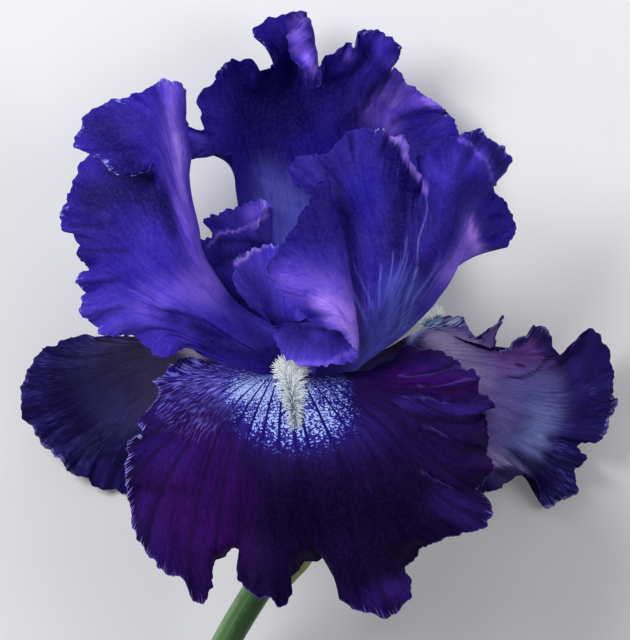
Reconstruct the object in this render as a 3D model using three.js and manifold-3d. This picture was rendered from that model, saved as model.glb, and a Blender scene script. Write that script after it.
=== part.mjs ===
// A cut bearded iris in full bloom, lying on its back on a flat surface.
// Millimetres. +X is to the flower's right, +Y runs up its axis from stem to crown, and +Z is up.
// The flower is drawn in its own frame, with its throat at the origin, and then set down on z = 0.

import * as THREE from "three";
import Module from "manifold-3d";
import { mergeVertices } from "three/addons/utils/BufferGeometryUtils.js";

const wasm = await Module();
wasm.setup();

// Driving dimensions
const FLOWER_TO_SURFACE = 39; // height of the flower's axis above the surface that it lies on
const ORIGIN_SHIFT = [-4.6, 4.9]; // moves the middle of the whole cut flower to x = y = 0
const PETAL_THICKNESS = 0.8;
const STYLE_THICKNESS = 0.9;
const BRACT_THICKNESS = 0.7;
const GAP = 0.3; // what touches is kept this far apart
const THROAT_LEVEL = -8.5; // top of the perianth tube, where every petal is rooted
const ROOT_LEVEL = THROAT_LEVEL + 0.7;
const TUBE_MOUTH_RADIUS = 7.2;
const TUBE_RADIUS = 3.1;
const OVARY_RADIUS = 4.7;
const OVARY_LOBES = 0.5;
const STEM_RADIUS = 3.6;
const FALL_ROOT_RADIUS = 6;
const STANDARD_ROOT_RADIUS = 4.4;
const STYLE_ROOT_RADIUS = 2.2;
const OUTER_ROOT_ARC = 30; // degrees to each side that a fall's or a standard's root takes of the mouth
const STYLE_ROOT_ARC = 45;
const EYE = { x: 3.75, y: 13, height: 1500 }; // where the flower is looked at from

// Directions round the axis, in degrees: 270 faces straight up, away from the surface
const FRONT = 270;
const BACK_LEFT = 150;
const BACK_RIGHT = 30;
const FRONT_LEFT = 210;
const FRONT_RIGHT = 330;
const BACK = 90;

// A beard is a soft ridge along the middle of a fall's haft, set with stiff hairs
const BEARD = {
  start: 0.3, // shares of the fall's length
  end: 0.58,
  coreRadius: 1.05,
  coreStations: 9,
  hairs: 44,
  hairLength: 3.4,
  hairRadius: 0.3,
  widestLean: 68, // degrees to either side
  footHeight: 0.25, // a hair's foot lies this far from the ridge's middle line, well inside the ridge
};

// Stamens: a thin filament that carries a long, flattened anther
const FILAMENT_RADIUS = 0.42;
const ANTHER_START = 0.42; // share of the stamen's length
const ANTHER_SWELL = 0.45;
const ANTHER_FLATTENING = 0.2;

const STEM_NODE_SWELL = 0.5;
const STEM_RIDGE = 0.12;
const STEM_TAPER = 0.1;

const FINISHES = {
  standard: { color: 0x3a22b4, roughness: 0.6, metalness: 0 },
  fall: { color: 0x1d0a52, roughness: 0.55, metalness: 0 },
  style: { color: 0x4a35c0, roughness: 0.55, metalness: 0 },
  beard: { color: 0xe6ecf5, roughness: 0.8, metalness: 0 },
  stamen: { color: 0xcfc6e6, roughness: 0.7, metalness: 0 },
  green: { color: 0x5f8f4c, roughness: 0.5, metalness: 0 },
  bract: { color: 0x8c9a5a, roughness: 0.7, metalness: 0 },
};

const vec = (p) => new THREE.Vector3(...p);

// Three points on a petal's root, which is an arc of the tube's mouth.
function root(radius, direction, halfAngle, turn = 1) {
  return [-turn, 0, turn].map((side) => {
    const angle = THREE.MathUtils.degToRad(direction + side * halfAngle);
    return [radius * Math.cos(angle), ROOT_LEVEL, -radius * Math.sin(angle)];
  });
}

// Each petal is drawn as curves across it, from its root to its rim, as [x, y, z].
// They start at the same side of the petal, and their points are evenly spread across it.
const FRONT_FALL = [
  root(FALL_ROOT_RADIUS, FRONT, OUTER_ROOT_ARC),
  [[-5, -4, 9], [-1, -5, 11], [4, -4, 9]],
  [[-10.5, -0.5, 15], [-8.5, -1, 20.5], [-2.6, -0.8, 23.5], [4.5, -1, 20.5], [9.5, -0.5, 15]],
  [
    [-15.5, 1, 16.5], [-20.5, -3.5, 25], [-20.5, -12, 34], [-12.5, -19, 42], [0, -21.5, 46],
    [14, -19.5, 44], [22, -12.5, 37], [24, -4, 29], [17, 0.5, 18],
  ],
  [
    [-20.5, 2.2, 15], [-30, -2, 17], [-33.5, -10.5, 24], [-35.5, -24, 30], [-30, -37, 35],
    [-22, -42, 38.5], [-13.5, -40, 40], [-5, -43, 43.5], [3, -41, 43], [13, -46, 46], [21, -41.5, 42.5],
    [30, -34.5, 41], [36, -28, 36.5], [38.5, -18, 36], [38.5, -8, 30], [34, 0.5, 22.5], [19.5, 2, 16],
  ],
  [
    [-23, 2, 13], [-28, 3.5, 14], [-32, 2, 13], [-36, -2.5, 15], [-35.5, -6, 19], [-39.5, -11.5, 20],
    [-40, -16, 24], [-43, -17.5, 23], [-43.5, -23, 24], [-43, -31, 26], [-41.5, -39, 26],
    [-38, -45.5, 29], [-34, -50, 31], [-29, -52, 36], [-27, -57, 37], [-23.5, -57, 39],
    [-21.5, -49.5, 35], [-18, -44.5, 32], [-14.5, -44.5, 33], [-15.5, -51.5, 39], [-12, -55.5, 42],
    [-7.5, -56.5, 43], [-4.5, -59, 41], [-2, -53, 38], [1, -48, 35], [6.5, -46.5, 34], [9, -52, 38],
    [11, -57.5, 42], [16, -60, 44], [20.5, -61.3, 44], [25, -59.5, 43], [28.3, -54.5, 40],
    [26, -50, 34], [30, -45, 34], [34, -42.5, 38], [38.5, -41, 35], [42.5, -40, 35], [46.5, -38.5, 31],
    [48, -33, 29], [44.5, -29, 27], [48.5, -24.5, 31], [47, -20, 27], [47, -13.5, 28], [46, -10, 24],
    [49, -8.3, 27], [44.5, -5, 24], [45, -1, 23], [40, 1.5, 18], [37, 4, 14], [32, 6, 12],
    [27, 6, 11.5], [22.5, 2.5, 12],
  ],
];

const LEFT_FALL = [
  root(FALL_ROOT_RADIUS, BACK_LEFT, OUTER_ROOT_ARC, -1),
  [[-12, -3, -3], [-11.5, -4.5, -8], [-9, -4, -12]],
  [[-20, 2.5, -8], [-22, 2.5, -11.5], [-22.5, 2, -15], [-21, 0.5, -18], [-18, -1.5, -21]],
  [
    [-28, 6.8, -12], [-36, 6.5, -17.5], [-39.5, 2, -24], [-37.5, -4, -28],
    [-32.5, -9, -30], [-26, -10, -30], [-20, -7, -27.5],
  ],
  [
    [-34, 8.8, -15], [-47, 7, -19], [-56, 2, -24], [-59, -6, -28.5], [-56, -14, -32],
    [-50, -20, -34.5], [-41, -22.5, -36.5], [-32, -22.5, -35.5], [-24, -19, -33], [-18.5, -12, -29],
  ],
  [
    [-37, 9.2, -15], [-43, 9, -17], [-49, 9, -17], [-56, 8.8, -20], [-60.5, 7.5, -21], [-65, 5, -24],
    [-67.8, 1, -25], [-69.5, -3.5, -28], [-70, -7, -27], [-69, -11.5, -30], [-66, -15.5, -31],
    [-63.5, -19, -34], [-60.5, -21.5, -32], [-57.5, -25, -35], [-53, -27, -34], [-50, -29, -37],
    [-46, -29.8, -37], [-41, -30.5, -39.5], [-36, -30, -37.5], [-32, -30, -37.5], [-27.5, -28.5, -35],
    [-24.5, -26.5, -37], [-22, -24, -34], [-20, -20, -35.5], [-18, -16, -32], [-16.5, -11, -30],
  ],
];

const RIGHT_FALL = [
  root(FALL_ROOT_RADIUS, BACK_RIGHT, OUTER_ROOT_ARC),
  [[12.5, -3, -3], [12, -4, -8], [9.5, -4, -12]],
  [[24, 5, -8], [25, 5, -12], [24.5, 4, -16], [22.5, 1.5, -19], [19, -1, -22]],
  [
    [31, 8.8, -10.5], [38, 9, -15], [43, 6, -20], [44, 0, -25],
    [41.5, -6.5, -29], [36, -11, -31], [30, -12, -31], [25, -10, -29],
  ],
  [
    [34, 10, -11], [44, 7, -17.5], [50, 5, -18.5], [57, 5.5, -20], [62.5, 1, -24], [64.5, -6, -27],
    [62, -13.5, -30], [57.5, -19, -32.5], [51, -21, -34], [43, -23, -35.5], [34.5, -21.5, -35],
    [27, -15, -31.5],
  ],
  [
    [36, 11, -10], [40.5, 13, -12], [44.3, 8.5, -17], [48, 11.5, -13], [51, 14, -14], [49, 9.5, -19],
    [49, 5.5, -21], [52.5, 6, -15], [56, 9, -15], [59.5, 12, -17], [62.5, 9.5, -19], [64, 5.5, -22],
    [66, 3, -24], [68.5, 7, -20], [70.5, 9.5, -21], [74, 10.5, -22], [76.5, 6.5, -21], [78.3, 1, -23],
    [78.3, -5, -22], [79.3, -8, -25], [77.5, -11.5, -28], [76, -16.5, -26], [70, -18.5, -31],
    [71.5, -22, -28], [68.5, -25, -32], [69.5, -29.5, -33], [66, -32, -36], [61, -33.8, -37],
    [60, -29, -34], [56.5, -25.5, -31], [52, -27.5, -34.5], [48, -30, -34], [43.5, -30.5, -38],
    [39, -31, -39.5], [35, -29, -37.5], [31, -27, -37], [28, -24, -34.5], [26, -20.5, -36],
    [25, -15.5, -32],
  ],
];

const LEFT_STANDARD = [
  root(STANDARD_ROOT_RADIUS, FRONT_LEFT, OUTER_ROOT_ARC, -1),
  [[-6, -2, 8], [-6.5, 3.5, 9], [-3.2, 8, 6.2]],
  [[-12.5, 0.5, 12], [-17, 6, 15], [-19, 13, 16], [-18, 17, 12], [-13.5, 15.5, 6]],
  [
    [-19, 3, 14], [-26, 8.5, 19], [-32, 14, 21.5], [-36, 21, 22], [-37, 29.5, 21],
    [-34, 37, 20], [-31, 41.5, 18], [-27.5, 37, 13], [-22.5, 24, 8],
  ],
  [
    [-24, 4.5, 13], [-30, 8, 18], [-37.5, 12, 19], [-43.5, 16, 17], [-46, 22, 15], [-47, 28, 14.5],
    [-49, 35.5, 14], [-47.5, 43, 13.5], [-41.5, 48.5, 15], [-36.5, 49, 20], [-37.5, 55, 21.5],
    [-38, 60, 20], [-32.5, 61.5, 15.5], [-28.5, 55, 9], [-27.5, 38, 3],
  ],
  [
    [-25.5, 4.5, 12.5], [-28, 8, 11], [-30, 5.5, 17], [-33, 3.8, 21], [-36.5, 4.3, 21.5],
    [-39.5, 7.5, 17], [-42.5, 9.5, 14], [-46, 9.3, 15.5], [-49.5, 9.3, 15], [-52, 12, 12],
    [-54.5, 15, 13.5], [-54.8, 18.5, 10.5], [-53.5, 20, 10], [-56.3, 22.5, 13], [-55, 24.5, 11],
    [-53, 25.5, 8], [-55, 29.5, 10.5], [-57, 34.5, 8.5], [-59.5, 35.5, 10], [-60, 38.5, 9],
    [-58.5, 42.5, 11], [-57.5, 46, 8.5], [-55.5, 50.5, 9.5], [-53, 54, 9.5], [-49, 56.5, 11],
    [-43.5, 58, 14], [-39, 56.5, 18], [-36.5, 53, 21.5], [-40, 50, 24], [-45, 48.8, 25.5],
    [-49, 52, 25], [-52.5, 55, 23], [-56.3, 56, 22], [-55.5, 60.5, 19.5], [-52.5, 65, 18],
    [-48, 67.8, 18], [-43.5, 68.8, 16], [-39, 70.5, 16.5], [-35.5, 72.5, 14.5], [-32, 73, 14],
    [-29.8, 72.3, 12], [-29, 69, 9], [-28.3, 63, 6], [-27.5, 56.5, 3], [-28.3, 50, 1],
  ],
];

const RIGHT_STANDARD = [
  root(STANDARD_ROOT_RADIUS, FRONT_RIGHT, OUTER_ROOT_ARC),
  [[6.5, -0.5, 10], [10.5, -0.5, 8.5], [11.5, 1, 4]],
  [[13, 4, 22.5], [15, 7, 21.5], [18, 10, 19], [24, 11, 14], [25.5, 9, 9]],
  [
    [14, 5, 29], [11, 14, 29], [14, 22, 24], [19, 27, 25.5], [25, 28, 27],
    [31, 28, 25], [35.5, 26.5, 19.5], [37, 22.5, 12], [33.5, 17, 7],
  ],
  [
    [14.3, 5, 32.5], [8, 14, 33], [2.5, 25, 33], [7.5, 37, 31], [9, 40, 24], [11.5, 44, 23.5],
    [15, 48, 25.5], [20, 49, 27.5], [27, 43, 23], [31, 44, 23], [36.5, 47.5, 26], [41, 46, 22],
    [43, 40, 13.5], [43, 33.5, 8], [40, 28, 6], [35.5, 22, 5.5],
  ],
  [
    [14.5, 4.8, 34], [11, 7, 34.5], [8.8, 10.5, 34.5], [2.5, 13, 34], [-2.5, 18, 33.5], [-8, 23.5, 34],
    [-7.5, 27.5, 35], [-3.8, 33, 36], [0, 39.3, 37], [3, 44, 37], [5.8, 48.5, 35], [2.5, 45, 30],
    [-1.3, 47.5, 25], [-3.5, 50, 20], [-2.5, 52, 18], [0, 53.5, 19], [3, 54.5, 21], [4.5, 53.5, 24],
    [7.5, 55.5, 26], [11, 59, 27], [13, 60.5, 25], [18.5, 61, 27], [21, 60.5, 30], [22.5, 59, 28],
    [25, 59.5, 30], [27, 57, 31], [27.5, 53, 29], [30, 49.3, 24], [31, 47, 20], [31.3, 50.5, 22],
    [30, 54, 25], [32, 56, 27], [35, 58, 28], [39, 59, 26], [42, 60.3, 27], [45, 60.5, 24],
    [48, 58, 26], [51, 56, 24], [52.8, 53.5, 20], [51.8, 50.8, 17], [49, 49.5, 12], [47, 47.5, 6],
    [49.5, 44.5, 5], [52.5, 40.5, 6], [54, 36.5, 4], [53, 33, 5], [50, 31, 2], [45, 30.5, 4],
    [40.5, 27.8, 2], [36, 25.5, 3],
  ],
];

const BACK_STANDARD = [
  root(STANDARD_ROOT_RADIUS, BACK, OUTER_ROOT_ARC, -1),
  [[-4, 1, -10], [0, 0, -11.5], [4, 1, -10]],
  [[-9, 14, -16], [-5, 12, -22], [2, 11, -24], [9, 12, -22], [13, 14, -16]],
  [
    [-15.5, 42, -22], [-12, 38, -29], [-7.5, 35, -36], [-1.5, 33, -40.5], [5, 33, -41],
    [12, 33.5, -40], [19, 35, -35.5], [25, 36, -29], [28.5, 33, -22.5],
  ],
  [
    [-16.3, 49, -17.5], [-18.5, 55, -18.5], [-17, 60.5, -24], [-13, 64, -29], [-8, 66, -33],
    [-4.5, 67.5, -34], [-1, 68, -33.5], [3.5, 67, -31], [9.5, 67.5, -28], [14, 66, -27],
    [19, 61.5, -32.5], [26, 54, -33], [30, 37.5, -26],
  ],
  [
    [-16.5, 52.5, -15], [-23.5, 55.5, -11.5], [-25, 58.5, -12], [-21, 60.5, -17], [-21.5, 65.5, -19],
    [-18.5, 70, -21], [-15, 72.5, -23], [-11, 72, -24], [-6.5, 73.5, -25], [-5.5, 77, -24.5],
    [-3.5, 80.5, -24], [1, 85.5, -24.5], [3, 86, -19], [4, 80, -17], [4.8, 75.5, -18.5], [7, 75, -21],
    [11.5, 76, -20], [15.5, 78, -20.5], [19.5, 77, -19], [19, 73, -22], [20, 70, -29], [26, 66, -30.5],
    [32, 61.5, -30.5], [36, 52, -29.5], [32.5, 39, -24.5],
  ],
  [
    [-17, 54.5, -13], [-22, 54.5, -11], [-27.5, 53, -9], [-31, 55.5, -8], [-30.5, 59.5, -9],
    [-27.5, 61, -10], [-24.5, 60, -13], [-25, 64, -13], [-25, 68.5, -15], [-22.5, 72, -15],
    [-20.5, 74.5, -18], [-19, 77.3, -15], [-15.5, 78, -19], [-12, 77.8, -16], [-9.5, 75.5, -20],
    [-7, 76.8, -22], [-5.5, 79, -19], [-8.5, 81.5, -16], [-11.5, 83.5, -15], [-11, 86, -18],
    [-7.5, 88.5, -19], [-3.5, 89.5, -22], [1.5, 90.3, -23], [0, 88, -17], [-3, 84, -14],
    [-2.5, 80.5, -13], [0.5, 75, -12], [2, 71, -12], [5, 72, -14], [5, 77, -17], [8.5, 80, -14],
    [11.5, 82, -16], [14, 81.5, -13], [14.5, 85, -17], [17.5, 85.5, -15], [21, 84.5, -16],
    [24, 83, -13], [25.3, 81, -15], [23, 77.5, -19], [19.5, 74, -25], [23.5, 76.5, -28],
    [26.5, 72.5, -27], [31, 69.5, -29], [35, 66.5, -27], [37.5, 64.5, -29], [39.5, 60, -27],
    [40.5, 54, -29], [39, 47, -27], [35, 41, -24],
  ],
];

const FRONT_STYLE = [
  root(STYLE_ROOT_RADIUS, FRONT, STYLE_ROOT_ARC),
  [[-3.2, 0, 5.5], [0, 1.5, 6.5], [3.2, 0, 5.5]],
  [[-5, 6, 12], [-3, 8.5, 14], [0, 9.3, 14.5], [3, 8.5, 14], [5, 6, 12]],
  [
    [-6, 10, 17], [-9, 16, 17.5], [-7, 18.5, 17.5], [-3.5, 16.5, 18], [0, 12.5, 20],
    [-2, 12, 25.5], [3.5, 11.8, 26.5], [8, 10.5, 25], [5.5, 8.5, 20],
  ],
  [
    [-8, 13.5, 17.5], [-13, 17, 17], [-16.5, 22, 16], [-16.5, 26, 16.5], [-16, 28.5, 17],
    [-12.5, 30.3, 17.5], [-9.5, 31.5, 16.5], [-6.3, 31.8, 17.5], [-3.3, 31.2, 17], [-4, 27, 16],
    [-2, 22, 16.5], [1, 17, 17.5], [2.5, 14, 19], [-5, 11.8, 26.5], [-7, 11, 27.5], [-6, 7.5, 29],
    [-4.5, 4.5, 29.5], [-2.5, 3, 30], [0, 1.6, 30.3], [4, 1.5, 30.5], [8, 1.8, 30], [10.8, 2.2, 29.3],
    [13.3, 4.3, 27.5], [11, 8, 25.5], [8, 10.5, 23.5],
  ],
];

const LEFT_STYLE = [
  root(STYLE_ROOT_RADIUS, BACK_LEFT, STYLE_ROOT_ARC, -1),
  [[-5.5, 4, 0], [-5, 5, -2.5], [-4, 4, -5]],
  [[-14.5, 12, 0], [-12, 15, -2.5], [-8, 14, -7]],
  [
    [-19.5, 20, 1], [-18, 24.5, 2], [-13, 27, 2], [-9, 28.5, 0], [-7.5, 30, -3],
    [-9, 30, -6.5], [-13, 29.5, -9], [-15.5, 28, -9],
  ],
  [
    [-23, 25, 0.5], [-25.5, 29.5, 0.5], [-27, 32.5, 0.5], [-23, 33.5, 2.5], [-21.5, 35.3, 4],
    [-18, 36, 5], [-16.3, 35.2, 5], [-14, 36.4, 5.5], [-11.3, 35.8, 5], [-10, 38.5, 3], [-8.5, 41.5, 0],
    [-6.8, 41, -3], [-8.5, 42.8, -5], [-11.5, 42.8, -7], [-15, 41.5, -8], [-19, 40.3, -8.5],
    [-22, 39, -8], [-24.3, 38, -8], [-21.8, 34.8, -8],
  ],
];

const RIGHT_STYLE = [
  root(STYLE_ROOT_RADIUS, BACK_RIGHT, STYLE_ROOT_ARC),
  [[5, 4, 1], [5, 5, -2], [4, 4, -5]],
  [[10, 13, 0], [10.5, 14.5, -4], [8.5, 13, -8]],
  [[14, 18, 3], [16, 20, 0], [17, 21, -4], [16, 22, -8], [13, 21, -12]],
  [
    [15, 22, 7], [17, 26, 7], [20, 26, 6], [22, 25, 3], [23, 22, 0], [20, 24, -4],
    [24, 27, -7], [23, 31, -10], [19, 33, -12], [15, 31, -14], [12, 28, -15],
  ],
];

const BANDS = [1, 1, 2, 2, 2]; // rows of faces between one curve and the next
const BACK_BANDS = [1, 1, 2, 2, 1, 1];
const STYLE_BANDS = [1, 1, 2, 3];

// The curves are drawn where an eye above the flower sees them against the plane of its axis.
// This moves each point along that line of sight to its own height.
function drawn(rings) {
  return rings.map((ring) =>
    ring.map(([x, y, z]) => {
      const share = 1 - z / EYE.height;
      return [EYE.x + (x - EYE.x) * share, EYE.y + (y - EYE.y) * share, z];
    }),
  );
}

// The middle surface of a petal as a grid of points: curves across it, joined by curves along it.
function surface(rings, bands, columns) {
  const across = rings.map((ring) => new THREE.CatmullRomCurve3(ring.map(vec), false, "catmullrom"));
  const levels = bands.flatMap((rows, band) =>
    Array.from({ length: rows }, (_, row) => (band + row / rows) / bands.length),
  );
  levels.push(1);
  const grid = levels.map(() => []);
  for (let column = 0; column <= columns; column += 1) {
    const spoke = across.map((curve) => curve.getPoint(column / columns));
    const along = new THREE.CatmullRomCurve3(spoke, false, "catmullrom");
    levels.forEach((level, row) => grid[row].push(along.getPoint(level)));
  }
  return grid;
}

function surfaceNormal(grid, row, column) {
  const line = grid[row];
  const acrossIt = line[Math.min(column + 1, line.length - 1)].clone().sub(line[Math.max(column - 1, 0)]);
  const next = grid[Math.min(row + 1, grid.length - 1)][column];
  const alongIt = next.clone().sub(grid[Math.max(row - 1, 0)][column]);
  return acrossIt.cross(alongIt).normalize();
}

// A closed sheet of even thickness round a grid of points.
// What would go below the surface that the flower lies on is pressed flat on it.
function sheet(grid, thickness) {
  const rows = grid.length;
  const columns = grid[0].length;
  const lowest = thickness / 2 - FLOWER_TO_SURFACE;
  const press = ({ x, y, z }) => new THREE.Vector3(x, y, Math.max(z, lowest));
  const pressed = grid.map((line) => line.map(press));
  const positions = [];
  for (const side of [1, -1]) {
    for (let row = 0; row < rows; row += 1) {
      for (let column = 0; column < columns; column += 1) {
        const lift = surfaceNormal(pressed, row, column).multiplyScalar((side * thickness) / 2);
        positions.push(...pressed[row][column].clone().add(lift));
      }
    }
  }
  const faces = [];
  const back = rows * columns;
  const quad = (a, b, c, d) => faces.push(a, b, c, a, c, d);
  for (let row = 0; row < rows - 1; row += 1) {
    for (let column = 0; column < columns - 1; column += 1) {
      const a = row * columns + column;
      const b = a + 1;
      const c = b + columns;
      const d = a + columns;
      quad(a, b, c, d);
      faces.push(back + a, back + c, back + b, back + a, back + d, back + c);
    }
  }
  const edge = [];
  for (let column = 0; column < columns; column += 1) edge.push(column);
  for (let row = 1; row < rows; row += 1) edge.push(row * columns + columns - 1);
  for (let column = columns - 2; column >= 0; column -= 1) edge.push((rows - 1) * columns + column);
  for (let row = rows - 2; row >= 1; row -= 1) edge.push(row * columns);
  edge.forEach((from, i) => {
    const to = edge[(i + 1) % edge.length];
    quad(from, from + back, to + back, to);
  });
  return closedGeometry(positions, faces);
}

function closedGeometry(positions, faces) {
  const geometry = new THREE.BufferGeometry();
  geometry.setAttribute("position", new THREE.Float32BufferAttribute(positions, 3));
  geometry.setIndex(faces);
  return geometry;
}

function petal(rings, bands, columns, thickness = PETAL_THICKNESS) {
  return sheet(surface(drawn(rings), bands, columns), thickness);
}

// A solid swept along a curve, with its own radius at each station and angle.
function swept(curve, stations, sides, radiusAt) {
  const positions = [];
  const faces = [];
  const frames = curve.computeFrenetFrames(stations - 1, false);
  for (let i = 0; i < stations; i += 1) {
    const t = i / (stations - 1);
    const centre = curve.getPointAt(t);
    for (let j = 0; j < sides; j += 1) {
      const angle = (2 * Math.PI * j) / sides;
      const reach = radiusAt(t, angle);
      const point = centre
        .clone()
        .addScaledVector(frames.normals[i], reach * Math.cos(angle))
        .addScaledVector(frames.binormals[i], reach * Math.sin(angle));
      positions.push(point.x, point.y, Math.max(point.z, -FLOWER_TO_SURFACE));
      if (i === 0) continue;
      const a = i * sides + j;
      const b = i * sides + ((j + 1) % sides);
      faces.push(a - sides, b - sides, b, a - sides, b, a);
    }
  }
  const first = curve.getPointAt(0);
  const last = curve.getPointAt(1);
  positions.push(first.x, first.y, first.z, last.x, last.y, last.z);
  const start = stations * sides;
  for (let j = 0; j < sides; j += 1) {
    const next = (j + 1) % sides;
    faces.push(start, next, j, start + 1, (stations - 1) * sides + j, (stations - 1) * sides + next);
  }
  return closedGeometry(positions, faces);
}

// The line that the tube, the ovary and the stem follow, from the throat down to the cut.
const AXIS = new THREE.CatmullRomCurve3(
  [
    [0, THROAT_LEVEL, 0], [0, -13, 0], [1.2, -21, -1.5], [1.6, -30, -4], [-0.8, -39, -7.3],
    [-5.4, -47.5, -11.2], [-11.5, -56.5, -15.5], [-18.3, -68, -20.6], [-26.5, -84, -28], [-34, -99, -35.4],
  ].map(vec),
  false,
  "catmullrom",
);
const OVARY_END = 0.405; // shares of the line's length
const STEM_START = OVARY_END + 0.0045;

// The part of that line between two shares of its length.
function stretch(from, to, count) {
  const share = (i) => from + ((to - from) * i) / (count - 1);
  const points = Array.from({ length: count }, (_, i) => AXIS.getPointAt(share(i)));
  return new THREE.CatmullRomCurve3(points, false, "catmullrom");
}

function smooth(low, high, value) {
  return THREE.MathUtils.smoothstep(value, low, high);
}

// The trumpet mouth narrows to the slim tube, which swells into a three-lobed ovary.
function ovaryRadius(t, angle) {
  const mouth = (TUBE_MOUTH_RADIUS - TUBE_RADIUS) * (1 - smooth(0, 0.16, t));
  const swelling = smooth(0.38, 0.6, t) * (1 - smooth(0.86, 1.02, t));
  const lobes = OVARY_LOBES * swelling * Math.cos(3 * angle);
  return TUBE_RADIUS + mouth + (OVARY_RADIUS - TUBE_RADIUS) * swelling + lobes;
}

// A ridged stem, a little thicker where the bracts grow from it.
function stemRadius(t, angle) {
  const node = STEM_NODE_SWELL * (1 - smooth(0, 0.1, t));
  return STEM_RADIUS + node + STEM_RIDGE * Math.cos(5 * angle) - STEM_TAPER * t;
}

function axisFrame(t) {
  const centre = AXIS.getPointAt(t);
  const down = AXIS.getTangentAt(t);
  const front = new THREE.Vector3(0, 0, 1).addScaledVector(down, -down.z).normalize();
  return { centre, front, side: down.clone().cross(front) };
}

// A papery bract wraps the ovary from the stem's top and narrows to a point beside the tube.
function bract({ direction, base, tip, halfAngle, clearance }) {
  const snug = OVARY_RADIUS + OVARY_LOBES + GAP + BRACT_THICKNESS / 2;
  const shape = [
    { t: 0, radius: snug - 0.8, open: 1 },
    { t: 0.2, radius: snug + 0.1, open: 1 },
    { t: 0.45, radius: snug + 0.2, open: 0.95 },
    { t: 0.7, radius: snug + 0.1, open: 0.8 },
    { t: 0.88, radius: snug - 0.5, open: 0.5 },
    { t: 1, radius: snug - 0.2, open: 0.12 },
  ];
  return shape.map(({ t, radius, open }) => {
    const { centre, front, side } = axisFrame(base + (tip - base) * t);
    return [-1, -0.75, -0.5, -0.25, 0, 0.25, 0.5, 0.75, 1].map((share) => {
      const angle = THREE.MathUtils.degToRad(direction + share * halfAngle * open);
      const reach = radius + clearance;
      const point = centre
        .clone()
        .addScaledVector(side, reach * Math.cos(angle))
        .addScaledVector(front, reach * Math.sin(angle));
      return point.toArray();
    });
  });
}

const GOLDEN_SHARE = 0.618; // spreads the hairs' leans evenly

// The small repeatable sequence that varies the beard's hairs.
function scatter(seed) {
  let state = seed;
  return () => {
    state = (state * 16807) % 2147483647;
    return state / 2147483647;
  };
}

function solid(geometry) {
  const bare = geometry.clone();
  bare.deleteAttribute("normal");
  bare.deleteAttribute("uv");
  const merged = mergeVertices(bare, 1e-4);
  return new wasm.Manifold(
    new wasm.Mesh({
      numProp: 3,
      vertProperties: new Float32Array(merged.attributes.position.array),
      triVerts: new Uint32Array(merged.index.array),
    }),
  );
}

function fromSolid(made) {
  const mesh = made.getMesh();
  return closedGeometry(Array.from(mesh.vertProperties), Array.from(mesh.triVerts));
}

// The ridge is swept along the haft, and the hairs fan out from it to both sides and lean towards its tip.
function beard(rings, seed) {
  const columns = 24;
  const rows = 60;
  const grid = surface(drawn(rings), BANDS.map(() => rows / BANDS.length), columns);
  const middle = columns / 2;
  const rowAt = (t) => Math.round(rows * (BEARD.start + (BEARD.end - BEARD.start) * t));
  const outward = surfaceNormal(grid, rowAt(0), middle).y < 0 ? -1 : 1;
  const normalAt = (t) => surfaceNormal(grid, rowAt(t), middle).multiplyScalar(outward);
  const lift = PETAL_THICKNESS / 2 + GAP + BEARD.coreRadius;
  const line = Array.from({ length: BEARD.coreStations }, (_, i) => {
    const t = i / (BEARD.coreStations - 1);
    return grid[rowAt(t)][middle].clone().addScaledVector(normalAt(t), lift);
  });
  const curve = new THREE.CatmullRomCurve3(line, false, "catmullrom");
  const bulge = (t) => Math.sqrt(Math.max(0.12, Math.sin(Math.PI * (0.08 + 0.86 * t))));
  let made = solid(swept(curve, BEARD.coreStations, 8, (t) => BEARD.coreRadius * bulge(t)));
  const random = scatter(seed);
  for (let i = 0; i < BEARD.hairs; i += 1) {
    const t = (i + 0.5) / BEARD.hairs;
    const normal = normalAt(t);
    const forward = curve.getTangentAt(t);
    const sideways = forward.clone().cross(normal);
    const lean = THREE.MathUtils.degToRad(BEARD.widestLean * (2 * ((i * GOLDEN_SHARE) % 1) - 1));
    const direction = normal
      .multiplyScalar(Math.cos(lean))
      .addScaledVector(sideways, Math.sin(lean))
      .addScaledVector(forward, 0.35 + 0.3 * random())
      .normalize();
    const length = BEARD.hairLength * (0.75 + 0.35 * random()) * (1 - 0.45 * smooth(0.6, 1, t));
    const hair = new THREE.ConeGeometry(BEARD.hairRadius, length, 3);
    hair.translate(0, length / 2, 0);
    hair.applyQuaternion(new THREE.Quaternion().setFromUnitVectors(new THREE.Vector3(0, 1, 0), direction));
    const foot = curve.getPointAt(t).addScaledVector(direction, BEARD.footHeight);
    hair.translate(foot.x, foot.y, foot.z);
    made = made.add(solid(hair));
  }
  return fromSolid(made);
}

function stamen(points) {
  const curve = new THREE.CatmullRomCurve3(points.map(vec), false, "catmullrom");
  return swept(curve, 15, 8, (t, angle) => {
    const along = Math.max(0, (t - ANTHER_START) / (1 - ANTHER_START));
    const anther = along > 0 ? Math.sqrt(Math.sin(Math.PI * Math.min(1, 0.05 + 0.9 * along))) : 0;
    return FILAMENT_RADIUS + anther * (ANTHER_SWELL + ANTHER_FLATTENING * Math.cos(2 * angle));
  });
}

const flower = new THREE.Group();
flower.position.set(ORIGIN_SHIFT[0], ORIGIN_SHIFT[1], FLOWER_TO_SURFACE);

function add(name, geometry, finish) {
  geometry.computeVertexNormals();
  const mesh = new THREE.Mesh(geometry, new THREE.MeshStandardMaterial(finish));
  mesh.name = name;
  flower.add(mesh);
}

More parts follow.
